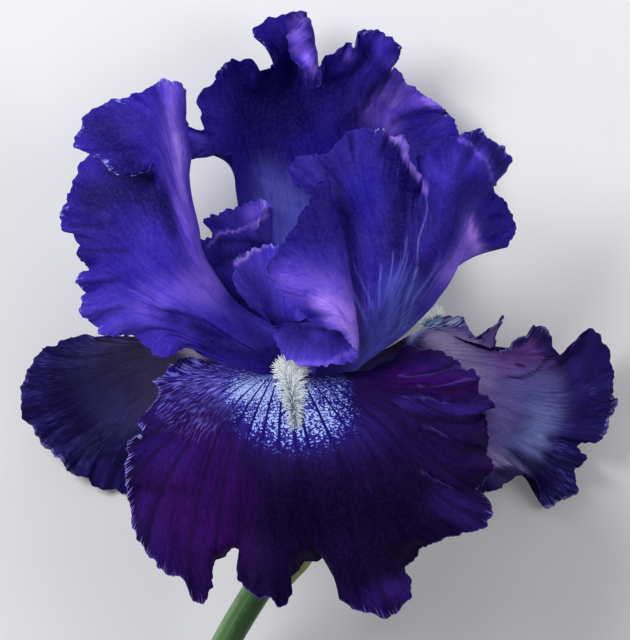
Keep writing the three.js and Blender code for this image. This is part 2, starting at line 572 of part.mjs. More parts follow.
// Green parts
const OUTER_BRACT = { direction: 200, base: 0.425, tip: 0.1, halfAngle: 112, clearance: 1.1 };
const INNER_BRACT = { direction: 20, base: 0.42, tip: 0.14, halfAngle: 98, clearance: 0 };
add("stem", swept(stretch(STEM_START, 1, 14), 14, 14, stemRadius), FINISHES.green);
add("ovary_and_tube", swept(stretch(0, OVARY_END, 16), 22, 15, ovaryRadius), FINISHES.green);
add("bract_outer", sheet(surface(bract(OUTER_BRACT), BANDS, 13), BRACT_THICKNESS), FINISHES.bract);
add("bract_inner", sheet(surface(bract(INNER_BRACT), BANDS, 13), BRACT_THICKNESS), FINISHES.bract);

// Falls, each with its beard
add("fall_front", petal(FRONT_FALL, BANDS, 51), FINISHES.fall);
add("fall_left", petal(LEFT_FALL, BANDS, 34), FINISHES.fall);
add("fall_right", petal(RIGHT_FALL, BANDS, 42), FINISHES.fall);
add("beard_front", beard(FRONT_FALL, 11), FINISHES.beard);
add("beard_left", beard(LEFT_FALL, 23), FINISHES.beard);
add("beard_right", beard(RIGHT_FALL, 37), FINISHES.beard);

// Standards
add("standard_left", petal(LEFT_STANDARD, BANDS, 50), FINISHES.standard);
add("standard_right", petal(RIGHT_STANDARD, BANDS, 60), FINISHES.standard);
add("standard_back", petal(BACK_STANDARD, BACK_BANDS, 54), FINISHES.standard);

// Style arms with their crests, and the stamens under them
add("style_front", petal(FRONT_STYLE, STYLE_BANDS, 24, STYLE_THICKNESS), FINISHES.style);
add("style_left", petal(LEFT_STYLE, STYLE_BANDS, 20, STYLE_THICKNESS), FINISHES.style);
add("style_right", petal(RIGHT_STYLE, STYLE_BANDS, 16, STYLE_THICKNESS), FINISHES.style);
const STAMENS = {
  stamen_front: [[0, ROOT_LEVEL, 4.2], [0, -4.5, 6.5], [0, -1.5, 10], [0, 2, 14], [0, 4.5, 17]],
  stamen_left: [[-3.6, ROOT_LEVEL, -2.1], [-6, -3, -3.5], [-9, 2, -5.2], [-11.5, 7, -6.5], [-13, 11, -7]],
  stamen_right: [[3.6, ROOT_LEVEL, -2.1], [6, -3, -3.5], [9, 2, -5.2], [11.5, 7, -6.5], [13, 11, -7]],
};
for (const [name, points] of Object.entries(STAMENS)) add(name, stamen(points), FINISHES.stamen);

export default flower;
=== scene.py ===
"""The looks of a cut bearded iris in full bloom, lying on its back on a pale floor.

Every petal is drawn over the same curves as the solid model, with far finer faces, ruffles and a
crimped rim. Drawing sizes are millimetres in the flower's own frame: the throat is the origin, +X is
to the right, +Y runs up the flower's axis and +Z points away from the surface that it lies on.
"""

import math

import bpy
import numpy as np
from mathutils import Matrix, Vector


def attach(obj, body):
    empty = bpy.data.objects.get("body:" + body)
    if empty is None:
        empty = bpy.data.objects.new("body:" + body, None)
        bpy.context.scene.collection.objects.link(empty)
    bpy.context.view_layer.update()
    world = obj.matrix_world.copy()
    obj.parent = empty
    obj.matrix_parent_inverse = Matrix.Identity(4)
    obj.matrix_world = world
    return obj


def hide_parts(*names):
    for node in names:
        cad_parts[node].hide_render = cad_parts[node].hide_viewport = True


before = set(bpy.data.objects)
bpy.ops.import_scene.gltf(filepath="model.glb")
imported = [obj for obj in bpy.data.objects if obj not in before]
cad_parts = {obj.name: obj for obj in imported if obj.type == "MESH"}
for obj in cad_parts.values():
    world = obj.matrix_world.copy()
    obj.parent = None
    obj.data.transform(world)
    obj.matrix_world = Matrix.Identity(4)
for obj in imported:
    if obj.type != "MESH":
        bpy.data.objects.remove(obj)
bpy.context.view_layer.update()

# Driving dimensions, in millimetres
MM = 0.001
DECIMETRE = 100
FLOWER_TO_SURFACE = 39.0
ORIGIN_SHIFT = (-4.6, 4.9)  # from the middle of the surface to the throat
PETAL_THICKNESS = 0.42
RIM_THICKNESS = 0.45  # share of the thickness that is left at the rim
RIM_TAPER = 6
BRACT_THICKNESS = 0.35
GAP = 0.3
THROAT_LEVEL = -8.5
ROOT_LEVEL = THROAT_LEVEL + 0.7
TUBE_MOUTH_RADIUS = 7.2
TUBE_RADIUS = 3.1
OVARY_RADIUS = 4.7
OVARY_LOBES = 0.5
STEM_RADIUS = 3.6
FALL_ROOT_RADIUS = 6
STANDARD_ROOT_RADIUS = 4.4
STYLE_ROOT_RADIUS = 2.2
OUTER_ROOT_ARC = 30  # halves of the roots' arcs, in degrees
STYLE_ROOT_ARC = 45
EYE = (3.75, 13.0, 1500.0)  # where the camera stands

CURVE_STEPS = 400
MERGE_DISTANCE = 0.0005
TINY = 1e-9

# The line that the tube, the ovary and the stem follow, from the throat down to the cut
AXIS = [
    [0, -8.5, 0], [0, -13, 0], [1.2, -21, -1.5], [1.6, -30, -4], [-0.8, -39, -7.3],
    [-5.4, -47.5, -11.2], [-11.5, -56.5, -15.5], [-18.3, -68, -20.6], [-26.5, -84, -28], [-34, -99, -35.4],
]
OVARY_END = 0.405  # shares of the line's length
STEM_START = 0.4095

# Tube and ovary: shares of their length where the mouth has narrowed and where the ovary swells and slims
MOUTH_END = 0.16
SWELLS = (0.38, 0.6)
SLIMS = (0.86, 1.02)
LOBE_COUNT = 3
LOBE_GROOVES = 0.25  # share of the lobes' height
OVARY_RIBS = (0.07, 18)  # height and number
OVARY_BUMPS = (0.1, 5, 9)  # height, and waves round and along the ovary

# Stem: ridges with fine, wavering ribs between them, on a surface that isn't quite even
STEM_NODE_SWELL = 0.5
STEM_NODE_SHARE = 0.1
STEM_RIDGE = 0.12
STEM_RIDGE_COUNT = 5
STEM_RIDGE_TWIST = 0.4
STEM_RIBS = (0.045, 30)  # height and number
RIB_WAVER = (2, 6)  # how far they waver, and waves along the stem
STEM_BUMPS = (0.05, 7, 2)  # height, and waves along and round the stem
STEM_TAPER = 0.1

BRACT_CLEARANCE = 0.35
BRACT_POINTS = 9
# A bract's outline: share of its length, radius past the ovary and how much of its arc is open
BRACT_SHAPE = [
    (0, -0.8, 1), (0.2, 0.1, 1), (0.45, 0.2, 0.95), (0.7, 0.1, 0.8), (0.88, -0.5, 0.5), (1, -0.2, 0.12),
]

# Stamens: a thin filament that carries a long, flattened anther
FILAMENT_RADIUS = 0.42
FILAMENT_SLIMMING = 0.35
ANTHER_START = 0.42
ANTHER_JOINT = 0.03
ANTHER_SWELL = 0.45
ANTHER_BLUNTNESS = 0.05
ANTHER_FLATTENING = 0.2
ANTHER_GROOVE = 0.16
GROOVE_WIDTH = 0.12

# Ends of round bodies. A row gives the share of the body's length, the share of its radius there and a
# step along the body's line
ROUNDED_START = [(0, 0, 0), (0, 0.6, 0), (0, 0.94, 0), (0, 0.98, 0.08), (0, 1, 0.3)]
ROUNDED_END = [
    (1, 1, -0.3), (1, 0.985, -0.1), (1, 0.95, 0), (1, 0.88, -0.05), (1, 0.6, -0.16), (1, 0.3, -0.2),
    (1, 0, -0.2),
]
END_FULLNESS = 0.97  # rows that are slimmer than this are on the face of an end
END_MARGIN = 0.01

# A beard is a soft ridge along the middle of a fall's haft, set with hairs
BEARD_COLUMNS = 25
BEARD_STATIONS = 24
BEARD_LIFT = 0.3
RIDGE_RADIUS = 0.45
RIDGE_ROWS = 40
RIDGE_SIDES = 16
RIDGE_BLUNTNESS = 0.04
LEAST_ROUNDNESS = 0.05
RIDGE_BUMPS = (0.1, 8, 40)  # height, and waves round and along the ridge
HAIRS_TO_A_MILLIMETRE = 26
HAIR_CROWDING = 0.9  # below 1, hairs crowd a little towards the beard's outer end
HAIR_LENGTH = 3.7
HAIR_RADIUS = 0.075
HAIR_SIDES = 4
HAIR_NARROWING = (0.95, 0.85, 0.7)
HAIR_BEND = 0.55
HAIR_DEPTH = 0.7  # share of the ridge's radius where hairs are rooted
WIDEST_LEAN = 88  # degrees to either side
GOLDEN_SHARE = 0.618
# Shares of the beard's length, with how far hairs are swept outwards there, and how long they are
HAIR_SWEEP = ([0, 0.2, 0.5, 1], [-0.75, -0.15, 0.25, 0.85])
HAIR_SIZES = ([0, 0.15, 0.5, 0.8, 1], [1.3, 1.25, 1.05, 0.8, 0.45])
SWEEP_SCATTER = 0.22
LEAN_SCATTER = 0.12
SMALLEST_HAIR = 0.8
SIZE_SCATTER = 0.3

# Directions round the axis, in degrees: 270 faces straight up, away from the surface
FRONT = 270
BACK_LEFT = 150
BACK_RIGHT = 30
FRONT_LEFT = 210
FRONT_RIGHT = 330
BACK = 90

# The photograph's frame
FRAME_HEIGHT = 160.0  # millimetres that it takes in at the height of the flower's axis
SENSOR = 36.0

# The floor, the light and the camera's reach, in metres
FLOOR_SIZE = 3
FLOOR_DROP = 0.0002
FLOOR_CLOUDS = 0.1667
# A light's name, place, size and power in watts
LIGHTS = [
    ("KeyLight", (-0.55, 0.35, 0.75), 0.45, 8.0),
    ("FillLight", (0.75, 0.1, 0.6), 0.5, 2.6),
    ("CrownLight", (0.1, 0.9, 0.5), 0.5, 2.6),
]
LIGHT_AIM = (0, 0, 0.03)
SURROUNDING_LIGHT = 0.3
CAMERA_REACH = 10


def root(radius, direction, half_angle, turn=1):
    """Three points on a petal's root, which is an arc of the tube's mouth."""
    angles = [math.radians(direction + side * half_angle) for side in (-turn, 0, turn)]
    return [[radius * math.cos(angle), ROOT_LEVEL, -radius * math.sin(angle)] for angle in angles]


# Each petal is drawn as curves across it, from its root to its rim, as [x, y, z].
# They start at the same side of the petal, and their points are evenly spread across it.
FRONT_FALL = [
    root(FALL_ROOT_RADIUS, FRONT, OUTER_ROOT_ARC),
    [[-5, -4, 9], [-1, -5, 11], [4, -4, 9]],
    [[-10.5, -0.5, 15], [-8.5, -1, 20.5], [-2.6, -0.8, 23.5], [4.5, -1, 20.5], [9.5, -0.5, 15]],
    [
        [-15.5, 1, 16.5], [-20.5, -3.5, 25], [-20.5, -12, 34], [-12.5, -19, 42], [0, -21.5, 46],
        [14, -19.5, 44], [22, -12.5, 37], [24, -4, 29], [17, 0.5, 18],
    ],
    [
        [-20.5, 2.2, 15], [-30, -2, 17], [-33.5, -10.5, 24], [-35.5, -24, 30], [-30, -37, 35],
        [-22, -42, 38.5], [-13.5, -40, 40], [-5, -43, 43.5], [3, -41, 43], [13, -46, 46], [21, -41.5, 42.5],
        [30, -34.5, 41], [36, -28, 36.5], [38.5, -18, 36], [38.5, -8, 30], [34, 0.5, 22.5], [19.5, 2, 16],
    ],
    [
        [-23, 2, 13], [-28, 3.5, 14], [-32, 2, 13], [-36, -2.5, 15], [-35.5, -6, 19], [-39.5, -11.5, 20],
        [-40, -16, 24], [-43, -17.5, 23], [-43.5, -23, 24], [-43, -31, 26], [-41.5, -39, 26],
        [-38, -45.5, 29], [-34, -50, 31], [-29, -52, 36], [-27, -57, 37], [-23.5, -57, 39],
        [-21.5, -49.5, 35], [-18, -44.5, 32], [-14.5, -44.5, 33], [-15.5, -51.5, 39], [-12, -55.5, 42],
        [-7.5, -56.5, 43], [-4.5, -59, 41], [-2, -53, 38], [1, -48, 35], [6.5, -46.5, 34], [9, -52, 38],
        [11, -57.5, 42], [16, -60, 44], [20.5, -61.3, 44], [25, -59.5, 43], [28.3, -54.5, 40],
        [26, -50, 34], [30, -45, 34], [34, -42.5, 38], [38.5, -41, 35], [42.5, -40, 35], [46.5, -38.5, 31],
        [48, -33, 29], [44.5, -29, 27], [48.5, -24.5, 31], [47, -20, 27], [47, -13.5, 28], [46, -10, 24],
        [49, -8.3, 27], [44.5, -5, 24], [45, -1, 23], [40, 1.5, 18], [37, 4, 14], [32, 6, 12],
        [27, 6, 11.5], [22.5, 2.5, 12],
    ],
]

LEFT_FALL = [
    root(FALL_ROOT_RADIUS, BACK_LEFT, OUTER_ROOT_ARC, -1),
    [[-12, -3, -3], [-11.5, -4.5, -8], [-9, -4, -12]],
    [[-20, 2.5, -8], [-22, 2.5, -11.5], [-22.5, 2, -15], [-21, 0.5, -18], [-18, -1.5, -21]],
    [
        [-28, 6.8, -12], [-36, 6.5, -17.5], [-39.5, 2, -24], [-37.5, -4, -28],
        [-32.5, -9, -30], [-26, -10, -30], [-20, -7, -27.5],
    ],
    [
        [-34, 8.8, -15], [-47, 7, -19], [-56, 2, -24], [-59, -6, -28.5], [-56, -14, -32],
        [-50, -20, -34.5], [-41, -22.5, -36.5], [-32, -22.5, -35.5], [-24, -19, -33], [-18.5, -12, -29],
    ],
    [
        [-37, 9.2, -15], [-43, 9, -17], [-49, 9, -17], [-56, 8.8, -20], [-60.5, 7.5, -21], [-65, 5, -24],
        [-67.8, 1, -25], [-69.5, -3.5, -28], [-70, -7, -27], [-69, -11.5, -30], [-66, -15.5, -31],
        [-63.5, -19, -34], [-60.5, -21.5, -32], [-57.5, -25, -35], [-53, -27, -34], [-50, -29, -37],
        [-46, -29.8, -37], [-41, -30.5, -39.5], [-36, -30, -37.5], [-32, -30, -37.5], [-27.5, -28.5, -35],
        [-24.5, -26.5, -37], [-22, -24, -34], [-20, -20, -35.5], [-18, -16, -32], [-16.5, -11, -30],
    ],
]

RIGHT_FALL = [
    root(FALL_ROOT_RADIUS, BACK_RIGHT, OUTER_ROOT_ARC),
    [[13, 0.6, -1.5], [12, -4, -8], [9.5, -4, -12]],
    [[23.5, 7, -7], [25, 5, -12], [24.5, 4, -16], [22.5, 1.5, -19], [19, -1, -22]],
    [
        [31, 11, -10], [38, 9, -15], [43, 6, -20], [44, 0, -25],
        [41.5, -6.5, -29], [36, -11, -31], [30, -12, -31], [25, -10, -29],
    ],
    [
        [34.5, 13, -9.5], [44, 7, -17.5], [50, 5, -18.5], [57, 5.5, -20], [62.5, 1, -24], [64.5, -6, -27],
        [62, -13.5, -30], [57.5, -19, -32.5], [51, -21, -34], [43, -23, -35.5], [34.5, -21.5, -35],
        [27, -15, -31.5],
    ],
    [
        [37.5, 14, -8.5], [41, 13, -12], [44.3, 8.5, -17], [48, 11.5, -13], [51, 14, -14], [49, 9.5, -19],
        [49, 5.5, -21], [52.5, 6, -15], [56, 9, -15], [59.5, 12, -17], [62.5, 9.5, -19], [64, 5.5, -22],
        [66, 3, -24], [68.5, 7, -20], [70.5, 9.5, -21], [74, 10.5, -22], [76.5, 6.5, -21], [78.3, 1, -23],
        [78.3, -5, -22], [79.3, -8, -25], [77.5, -11.5, -28], [76, -16.5, -26], [70, -18.5, -31],
        [71.5, -22, -28], [68.5, -25, -32], [69.5, -29.5, -33], [66, -32, -36], [61, -33.8, -37],
        [60, -29, -34], [56.5, -25.5, -31], [52, -27.5, -34.5], [48, -30, -34], [43.5, -30.5, -38],
        [39, -31, -39.5], [35, -29, -37.5], [31, -27, -37], [28, -24, -34.5], [26, -20.5, -36],
        [25, -15.5, -32],
    ],
]

LEFT_STANDARD = [
    root(STANDARD_ROOT_RADIUS, FRONT_LEFT, OUTER_ROOT_ARC, -1),
    [[-6, -2.6, 8], [-6.5, 3.5, 9], [-3.2, 8, 6.2]],
    [[-12.5, -0.6, 12], [-17, 6, 15], [-19, 13, 16], [-18, 17, 12], [-13.5, 15.5, 6]],
    [
        [-19, 2, 14], [-26, 8.5, 19], [-32, 14, 21.5], [-36, 21, 22], [-37, 29.5, 21],
        [-34, 37, 20], [-31, 41.5, 18], [-27.5, 37, 13], [-22.5, 24, 8],
    ],
    [
        [-24, 4.5, 13], [-30, 8, 18], [-37.5, 12, 19], [-43.5, 16, 17], [-46, 22, 15], [-47, 28, 14.5],
        [-49, 35.5, 14], [-47.5, 43, 13.5], [-41.5, 48.5, 15], [-36.5, 49, 20], [-37.5, 55, 21.5],
        [-38, 60, 20], [-32.5, 61.5, 15.5], [-28.5, 55, 9], [-27.5, 38, 3],
    ],
    [
        [-25.5, 4.5, 12.5], [-28, 8, 11], [-30, 5.5, 17], [-33, 3.8, 21], [-36.5, 4.3, 21.5],
        [-39.5, 7.5, 17], [-42.5, 9.5, 14], [-46, 9.3, 15.5], [-49.5, 9.3, 15], [-52, 12, 12],
        [-54.5, 15, 13.5], [-54.8, 18.5, 10.5], [-53.5, 20, 10], [-56.3, 22.5, 13], [-55, 24.5, 11],
        [-53, 25.5, 8], [-55, 29.5, 10.5], [-57, 34.5, 8.5], [-59.5, 35.5, 10], [-60, 38.5, 9],
        [-58.5, 42.5, 11], [-57.5, 46, 8.5], [-55.5, 50.5, 9.5], [-53, 54, 9.5], [-49, 56.5, 11],
        [-43.5, 58, 14], [-39, 56.5, 18], [-36.5, 53, 21.5], [-40, 50, 24], [-45, 48.8, 25.5],
        [-49, 52, 25], [-52.5, 55, 23], [-56.3, 56, 22], [-55.5, 60.5, 19.5], [-52.5, 65, 18],
        [-48, 67.8, 18], [-43.5, 68.8, 16], [-39, 70.5, 16.5], [-35.5, 72.5, 14.5], [-32, 73, 14],
        [-29.8, 72.3, 12], [-29, 69, 9], [-28.3, 63, 6], [-27.5, 56.5, 3], [-28.3, 50, 1],
    ],
]

RIGHT_STANDARD = [
    root(STANDARD_ROOT_RADIUS, FRONT_RIGHT, OUTER_ROOT_ARC),
    [[5.5, 0.8, 10], [11, -1.5, 8], [13, 0, 2.5]],
    [[13, 4, 22.5], [15, 7, 21.5], [18, 10, 19], [24, 11, 14], [25.5, 9, 9]],
    [
        [14, 5, 29], [11, 14, 29], [14, 22, 24], [19, 27, 25.5], [25, 28, 27],
        [31, 28, 25], [35.5, 26.5, 19.5], [37, 22.5, 12], [33.5, 17, 7],
    ],
    [
        [14.3, 5, 32.5], [8, 14, 33], [2.5, 25, 33], [7.5, 37, 31], [9, 40, 24], [11.5, 44, 23.5],
        [15, 48, 25.5], [20, 49, 27.5], [27, 43, 23], [31, 44, 23], [36.5, 47.5, 26], [41, 46, 22],
        [43, 40, 13.5], [43, 33.5, 8], [40, 28, 6], [35.5, 22, 5.5],
    ],
    [
        [14.5, 4.8, 34], [11, 7, 34.5], [8.8, 10.5, 34.5], [2.5, 13, 34], [-2.5, 18, 33.5], [-8, 23.5, 34],
        [-7.5, 27.5, 35], [-3.8, 33, 36], [0, 39.3, 37], [3, 44, 37], [5.8, 48.5, 35], [2.5, 45, 30],
        [-1.3, 47.5, 25], [-3.5, 50, 20], [-2.5, 52, 18], [0, 53.5, 19], [3, 54.5, 21], [4.5, 53.5, 24],
        [7.5, 55.5, 26], [11, 59, 27], [13, 60.5, 25], [18.5, 61, 27], [21, 60.5, 30], [22.5, 59, 28],
        [25, 59.5, 30], [27, 57, 31], [27.5, 53, 29], [30, 49.3, 24], [31, 47, 20], [31.3, 50.5, 22],
        [30, 54, 25], [32, 56, 27], [35, 58, 28], [39, 59, 26], [42, 60.3, 27], [45, 60.5, 24],
        [48, 58, 26], [51, 56, 24], [52.8, 53.5, 20], [51.8, 50.8, 17], [49, 49.5, 12], [47, 47.5, 6],
        [49.5, 44.5, 5], [52.5, 40.5, 6], [54, 36.5, 4], [53, 33, 5], [50, 31, 2], [45, 30.5, 4],
        [40.5, 27.8, 2], [36, 25.5, 3],
    ],
]

BACK_STANDARD = [
    root(STANDARD_ROOT_RADIUS, BACK, OUTER_ROOT_ARC, -1),
    [[-7, 1, -9.5], [0, 0, -11.5], [7, 1, -9.5]],
    [[-11, 14, -15], [-5, 12, -22], [2, 11, -24], [9, 12, -22], [15.5, 14, -15]],
    [
        [-15.5, 42, -22], [-12, 38, -29], [-7.5, 35, -36], [-1.5, 33, -40.5], [5, 33, -41],
        [12, 33.5, -40], [19, 35, -35.5], [25, 36, -29], [28.5, 33, -22.5],
    ],
    [
        [-16.3, 49, -17.5], [-18.5, 55, -18.5], [-17, 60.5, -24], [-13, 64, -29], [-8, 66, -33],
        [-4.5, 67.5, -34], [-1, 68, -33.5], [3.5, 67, -31], [9.5, 67.5, -28], [14, 66, -27],
        [19, 61.5, -32.5], [26, 54, -33], [30, 37.5, -26],
    ],
    [
        [-16.5, 52.5, -15], [-23.5, 55.5, -11.5], [-25, 58.5, -12], [-21, 60.5, -17], [-21.5, 65.5, -19],
        [-18.5, 70, -21], [-15, 72.5, -23], [-11, 72, -24], [-6.5, 73.5, -25], [-5.5, 77, -24.5],
        [-3.5, 80.5, -24], [1, 85.5, -24.5], [3, 86, -19], [4, 80, -17], [4.8, 75.5, -18.5], [7, 75, -21],
        [11.5, 76, -20], [15.5, 78, -20.5], [19.5, 77, -19], [19, 73, -22], [20, 70, -29], [26, 66, -30.5],
        [32, 61.5, -30.5], [36, 52, -29.5], [32.5, 39, -24.5],
    ],
    [
        [-17, 54.5, -13], [-22, 54.5, -11], [-27.5, 53, -9], [-31, 55.5, -8], [-30.5, 59.5, -9],
        [-27.5, 61, -10], [-24.5, 60, -13], [-25, 64, -13], [-25, 68.5, -15], [-22.5, 72, -15],
        [-20.5, 74.5, -18], [-19, 77.3, -15], [-15.5, 78, -19], [-12, 77.8, -16], [-9.5, 75.5, -20],
        [-7, 76.8, -22], [-5.5, 79, -19], [-8.5, 81.5, -16], [-11.5, 83.5, -15], [-11, 86, -18],
        [-7.5, 88.5, -19], [-3.5, 89.5, -22], [1.5, 90.3, -23], [0, 88, -17], [-3, 84, -14],
        [-2.5, 80.5, -13], [0.5, 75, -12], [2, 71, -12], [5, 72, -14], [5, 77, -17], [8.5, 80, -14],
        [11.5, 82, -16], [14, 81.5, -13], [14.5, 85, -17], [17.5, 85.5, -15], [21, 84.5, -16],
        [24, 83, -13], [25.3, 81, -15], [23, 77.5, -19], [19.5, 74, -25], [23.5, 76.5, -28],
        [26.5, 72.5, -27], [31, 69.5, -29], [35, 66.5, -27], [37.5, 64.5, -29], [39.5, 60, -27],
        [40.5, 54, -29], [39, 47, -27], [35, 41, -24],
    ],
]

FRONT_STYLE = [
    root(STYLE_ROOT_RADIUS, FRONT, STYLE_ROOT_ARC),
    [[-3.2, 0, 5.5], [0, 1.5, 6.5], [3.2, 0, 5.5]],
    [[-5, 6, 12], [-3, 8.5, 14], [0, 9.3, 14.5], [3, 8.5, 14], [5, 6, 12]],
    [
        [-6, 10, 17], [-9, 16, 17.5], [-7, 18.5, 17.5], [-3.5, 16.5, 18], [0, 12.5, 20],
        [-2, 12, 25.5], [3.5, 11.8, 26.5], [8, 10.5, 25], [5.5, 8.5, 20],
    ],
    [
        [-8, 13.5, 17.5], [-13, 17, 17], [-16.5, 22, 16], [-16.5, 26, 16.5], [-16, 28.5, 17],
        [-12.5, 30.3, 17.5], [-9.5, 31.5, 16.5], [-6.3, 31.8, 17.5], [-3.3, 31.2, 17], [-4, 27, 16],
        [-2, 22, 16.5], [1, 17, 17.5], [2.5, 14, 19], [-5, 11.8, 26.5], [-7, 11, 27.5], [-6, 7.5, 29],
        [-4.5, 4.5, 29.5], [-2.5, 3, 30], [0, 1.6, 30.3], [4, 1.5, 30.5], [8, 1.8, 30], [11.3, 2, 29],
        [14.6, 4.4, 27], [12.8, 9, 24.5], [9.5, 12, 22.5],
    ],
]

LEFT_STYLE = [
    root(STYLE_ROOT_RADIUS, BACK_LEFT, STYLE_ROOT_ARC, -1),
    [[-5.5, 4, 0], [-5, 5, -2.5], [-4, 4, -5]],
    [[-14.5, 12, 0], [-12, 15, -2.5], [-8, 14, -7]],
    [
        [-19.5, 20, 1], [-18, 24.5, 2], [-13, 27, 2], [-9, 28.5, 0], [-7.5, 30, -3],
        [-9, 30, -6.5], [-13, 29.5, -9], [-15.5, 28, -9],
    ],
    [
        [-23, 25, 0.5], [-25.5, 29.5, 0.5], [-27, 32.5, 0.5], [-23, 33.5, 2.5], [-21.5, 35.3, 4],
        [-18, 36, 5], [-16.3, 35.2, 5], [-14, 36.4, 5.5], [-11.3, 35.8, 5], [-10, 38.5, 3], [-8.5, 41.5, 0],
        [-6.8, 41, -3], [-8.5, 42.8, -5], [-11.5, 42.8, -7], [-15, 41.5, -8], [-19, 40.3, -8.5],
        [-22, 39, -8], [-24.3, 38, -8], [-21.8, 34.8, -8],
    ],
]

RIGHT_STYLE = [
    root(STYLE_ROOT_RADIUS, BACK_RIGHT, STYLE_ROOT_ARC),
    [[5, 4, 1], [5, 5, -2], [4, 4, -5]],
    [[10, 13, 0], [10.5, 14.5, -4], [8.5, 13, -8]],
    [[14, 18, 3], [16, 20, 0], [17, 21, -4], [16, 22, -8], [13, 21, -12]],
    [
        [15, 22, 7], [17, 26, 7], [20, 26, 6], [22, 25, 3], [23, 22, 0], [20, 24, -4],
        [24, 27, -7], [23, 31, -10], [19, 33, -12], [15, 31, -14], [12, 28, -15],
    ],
]

# Rows of faces between one curve and the next
FALL_ROWS = [3, 5, 12, 15, 22]
STANDARD_ROWS = [3, 5, 12, 14, 22]
BACK_ROWS = [3, 5, 10, 12, 12, 20]
STYLE_ROWS = [3, 8, 14, 20]
BRACT_ROWS = [10, 14, 16, 14, 12]
RIM_CROWDING = 1.7  # how far the last rows crowd towards the rim
THICKNESS_STEPS = 20

# Ruffles, from the widest to the finest: wavelength, height and how far in from the rim they reach
STANDARD_RUFFLES = [(13, 0.6, 11), (6.5, 0.32, 5), (3.1, 0.2, 2.4), (1.5, 0.08, 1.4)]
FALL_RUFFLES = [(11, 0.6, 11), (5.2, 0.42, 6), (2.8, 0.2, 3.2)]
STYLE_RUFFLES = [(6, 0.35, 5), (2.6, 0.2, 2.5)]
# Teeth of the rim: wavelength, depth and reach
RIM_TEETH = [(7.5, 0.4, 2.4), (2.9, 0.2, 1.2), (1.3, 0.07, 0.6)]
BRACT_RUFFLES = [(3.2, 0.08, 60), (1.3, 0.04, 60)]
BRACT_TEETH = [(2.2, 0.2, 1.5)]
CREST_TEETH = [(3.4, 0.4, 1.5), (1.7, 0.25, 0.9)]
# How far ruffles lean to and fro on their way in, and how unevenly far in they reach. The last value of each
# is the length of its waves, in wavelengths of the ruffle
RUFFLE_LEAN = (0.5, 1.5)
RUFFLE_REACH = (0.75, 0.45, 2.3)
DENT_DEPTH = 0.16
DENT_WIDTH = 3.1
DENT_LENGTH = 3.7
# The waves that make up a wobble: frequency and phase
WOBBLE_WAVES = [(1, 1), (1.618, 2.1), (0.731, 3.7)]
WOBBLE_HEIGHT = 2.2

# Folds: how wide their steep side is, and the share of their length over which they fade out
FOLD_EDGE = 0.3
FOLD_TAPER = 0.25
# How brush strokes are feathered along a petal's veins, and how they drift
FEATHERS = [(1.2, 0.7), (3.6, 0.6), (11, 0.5)]  # width in columns and reach in millimetres
FEATHER_LENGTH = 7
DRIFT_WIDTH = 6.1
DRIFT_LENGTH = 4.3
DRIFT = (0.8, -0.6)


def through(points, shares):
    """Points on a smooth curve through the given ones, which are evenly shared out along it."""
    points = np.asarray(points, float)
    last = len(points) - 1
    place = np.asarray(shares, float) * last
    start = np.minimum(place.astype(int), last - 1)
    part = (place - start).reshape(-1, *[1] * (points.ndim - 1))
    ends = [2 * points[:1] - points[1:2], points, 2 * points[-1:] - points[-2:-1]]
    padded = np.concatenate(ends)
    before, here, after, beyond = (padded[start + step] for step in range(4))
    slope_here = (after - before) / 2
    slope_after = (beyond - here) / 2
    square = 3 * (after - here) - 2 * slope_here - slope_after
    cube = 2 * (here - after) + slope_here + slope_after
    return here + part * (slope_here + part * (square + part * cube))


def smooth_step(low, high, value):
    """0 below the low value and 1 above the high one, with a soft rise between them."""
    share = np.clip((value - low) / (high - low), 0, 1)
    return share * share * (3 - 2 * share)


def drawn(points):
    """Moves points along the line of sight from where the eye sees them to their own height."""
    points = np.asarray(points, float)
    share = 1 - points[..., 2:] / EYE[2]
    eye = np.array(EYE[:2])
    return np.concatenate([eye + (points[..., :2] - eye) * share, points[..., 2:]], axis=-1)


def drawn_rings(rings):
    """Moves the points of all of a petal's curves along the line of sight."""
    return [drawn(ring) for ring in rings]


def seen(points):
    """Where the eye sees points, against the plane of the flower's axis."""
    share = 1 - points[..., 2:] / EYE[2]
    eye = np.array(EYE[:2])
    return eye + (points[..., :2] - eye) / share


def levels_of(row_counts):
    """Shares of the petal's length at which its rows lie, crowded towards the rim."""
    levels = []
    for band, count in enumerate(row_counts):
        steps = np.arange(count) / count
        if band == len(row_counts) - 1:
            steps = 1 - (1 - steps) ** RIM_CROWDING
        levels.extend((band + steps) / len(row_counts))
    return [*levels, 1.0]


def fine_grid(rings, row_counts, columns):
    """The points of a smooth petal, rows by columns, through the curves that it is drawn with."""
    across = np.stack([through(ring, np.linspace(0, 1, columns)) for ring in rings])
    return through(across, levels_of(row_counts))


def unit(vectors):
    """Vectors of length 1, with no division by nothing where rows meet in a point."""
    return vectors / np.maximum(np.linalg.norm(vectors, axis=-1, keepdims=True), TINY)


def normals_of(grid):
    """Directions square to a grid of points."""
    return unit(np.cross(np.gradient(grid, axis=1), np.gradient(grid, axis=0)))


def lengths_along(grid, axis):
    """Distance of each point from the first one in its row or column."""
    steps = np.linalg.norm(np.diff(grid, axis=axis), axis=-1)
    start = np.zeros_like(np.take(steps, [0], axis=axis))
    return np.concatenate([start, np.cumsum(steps, axis=axis)], axis=axis)


def wobble(x, seed):
    """A smooth uneven wave, mostly between -1 and 1, which doesn't visibly repeat."""
    waves = [np.sin(frequency * x + phase * seed) for frequency, phase in WOBBLE_WAVES]
    return sum(waves) / WOBBLE_HEIGHT


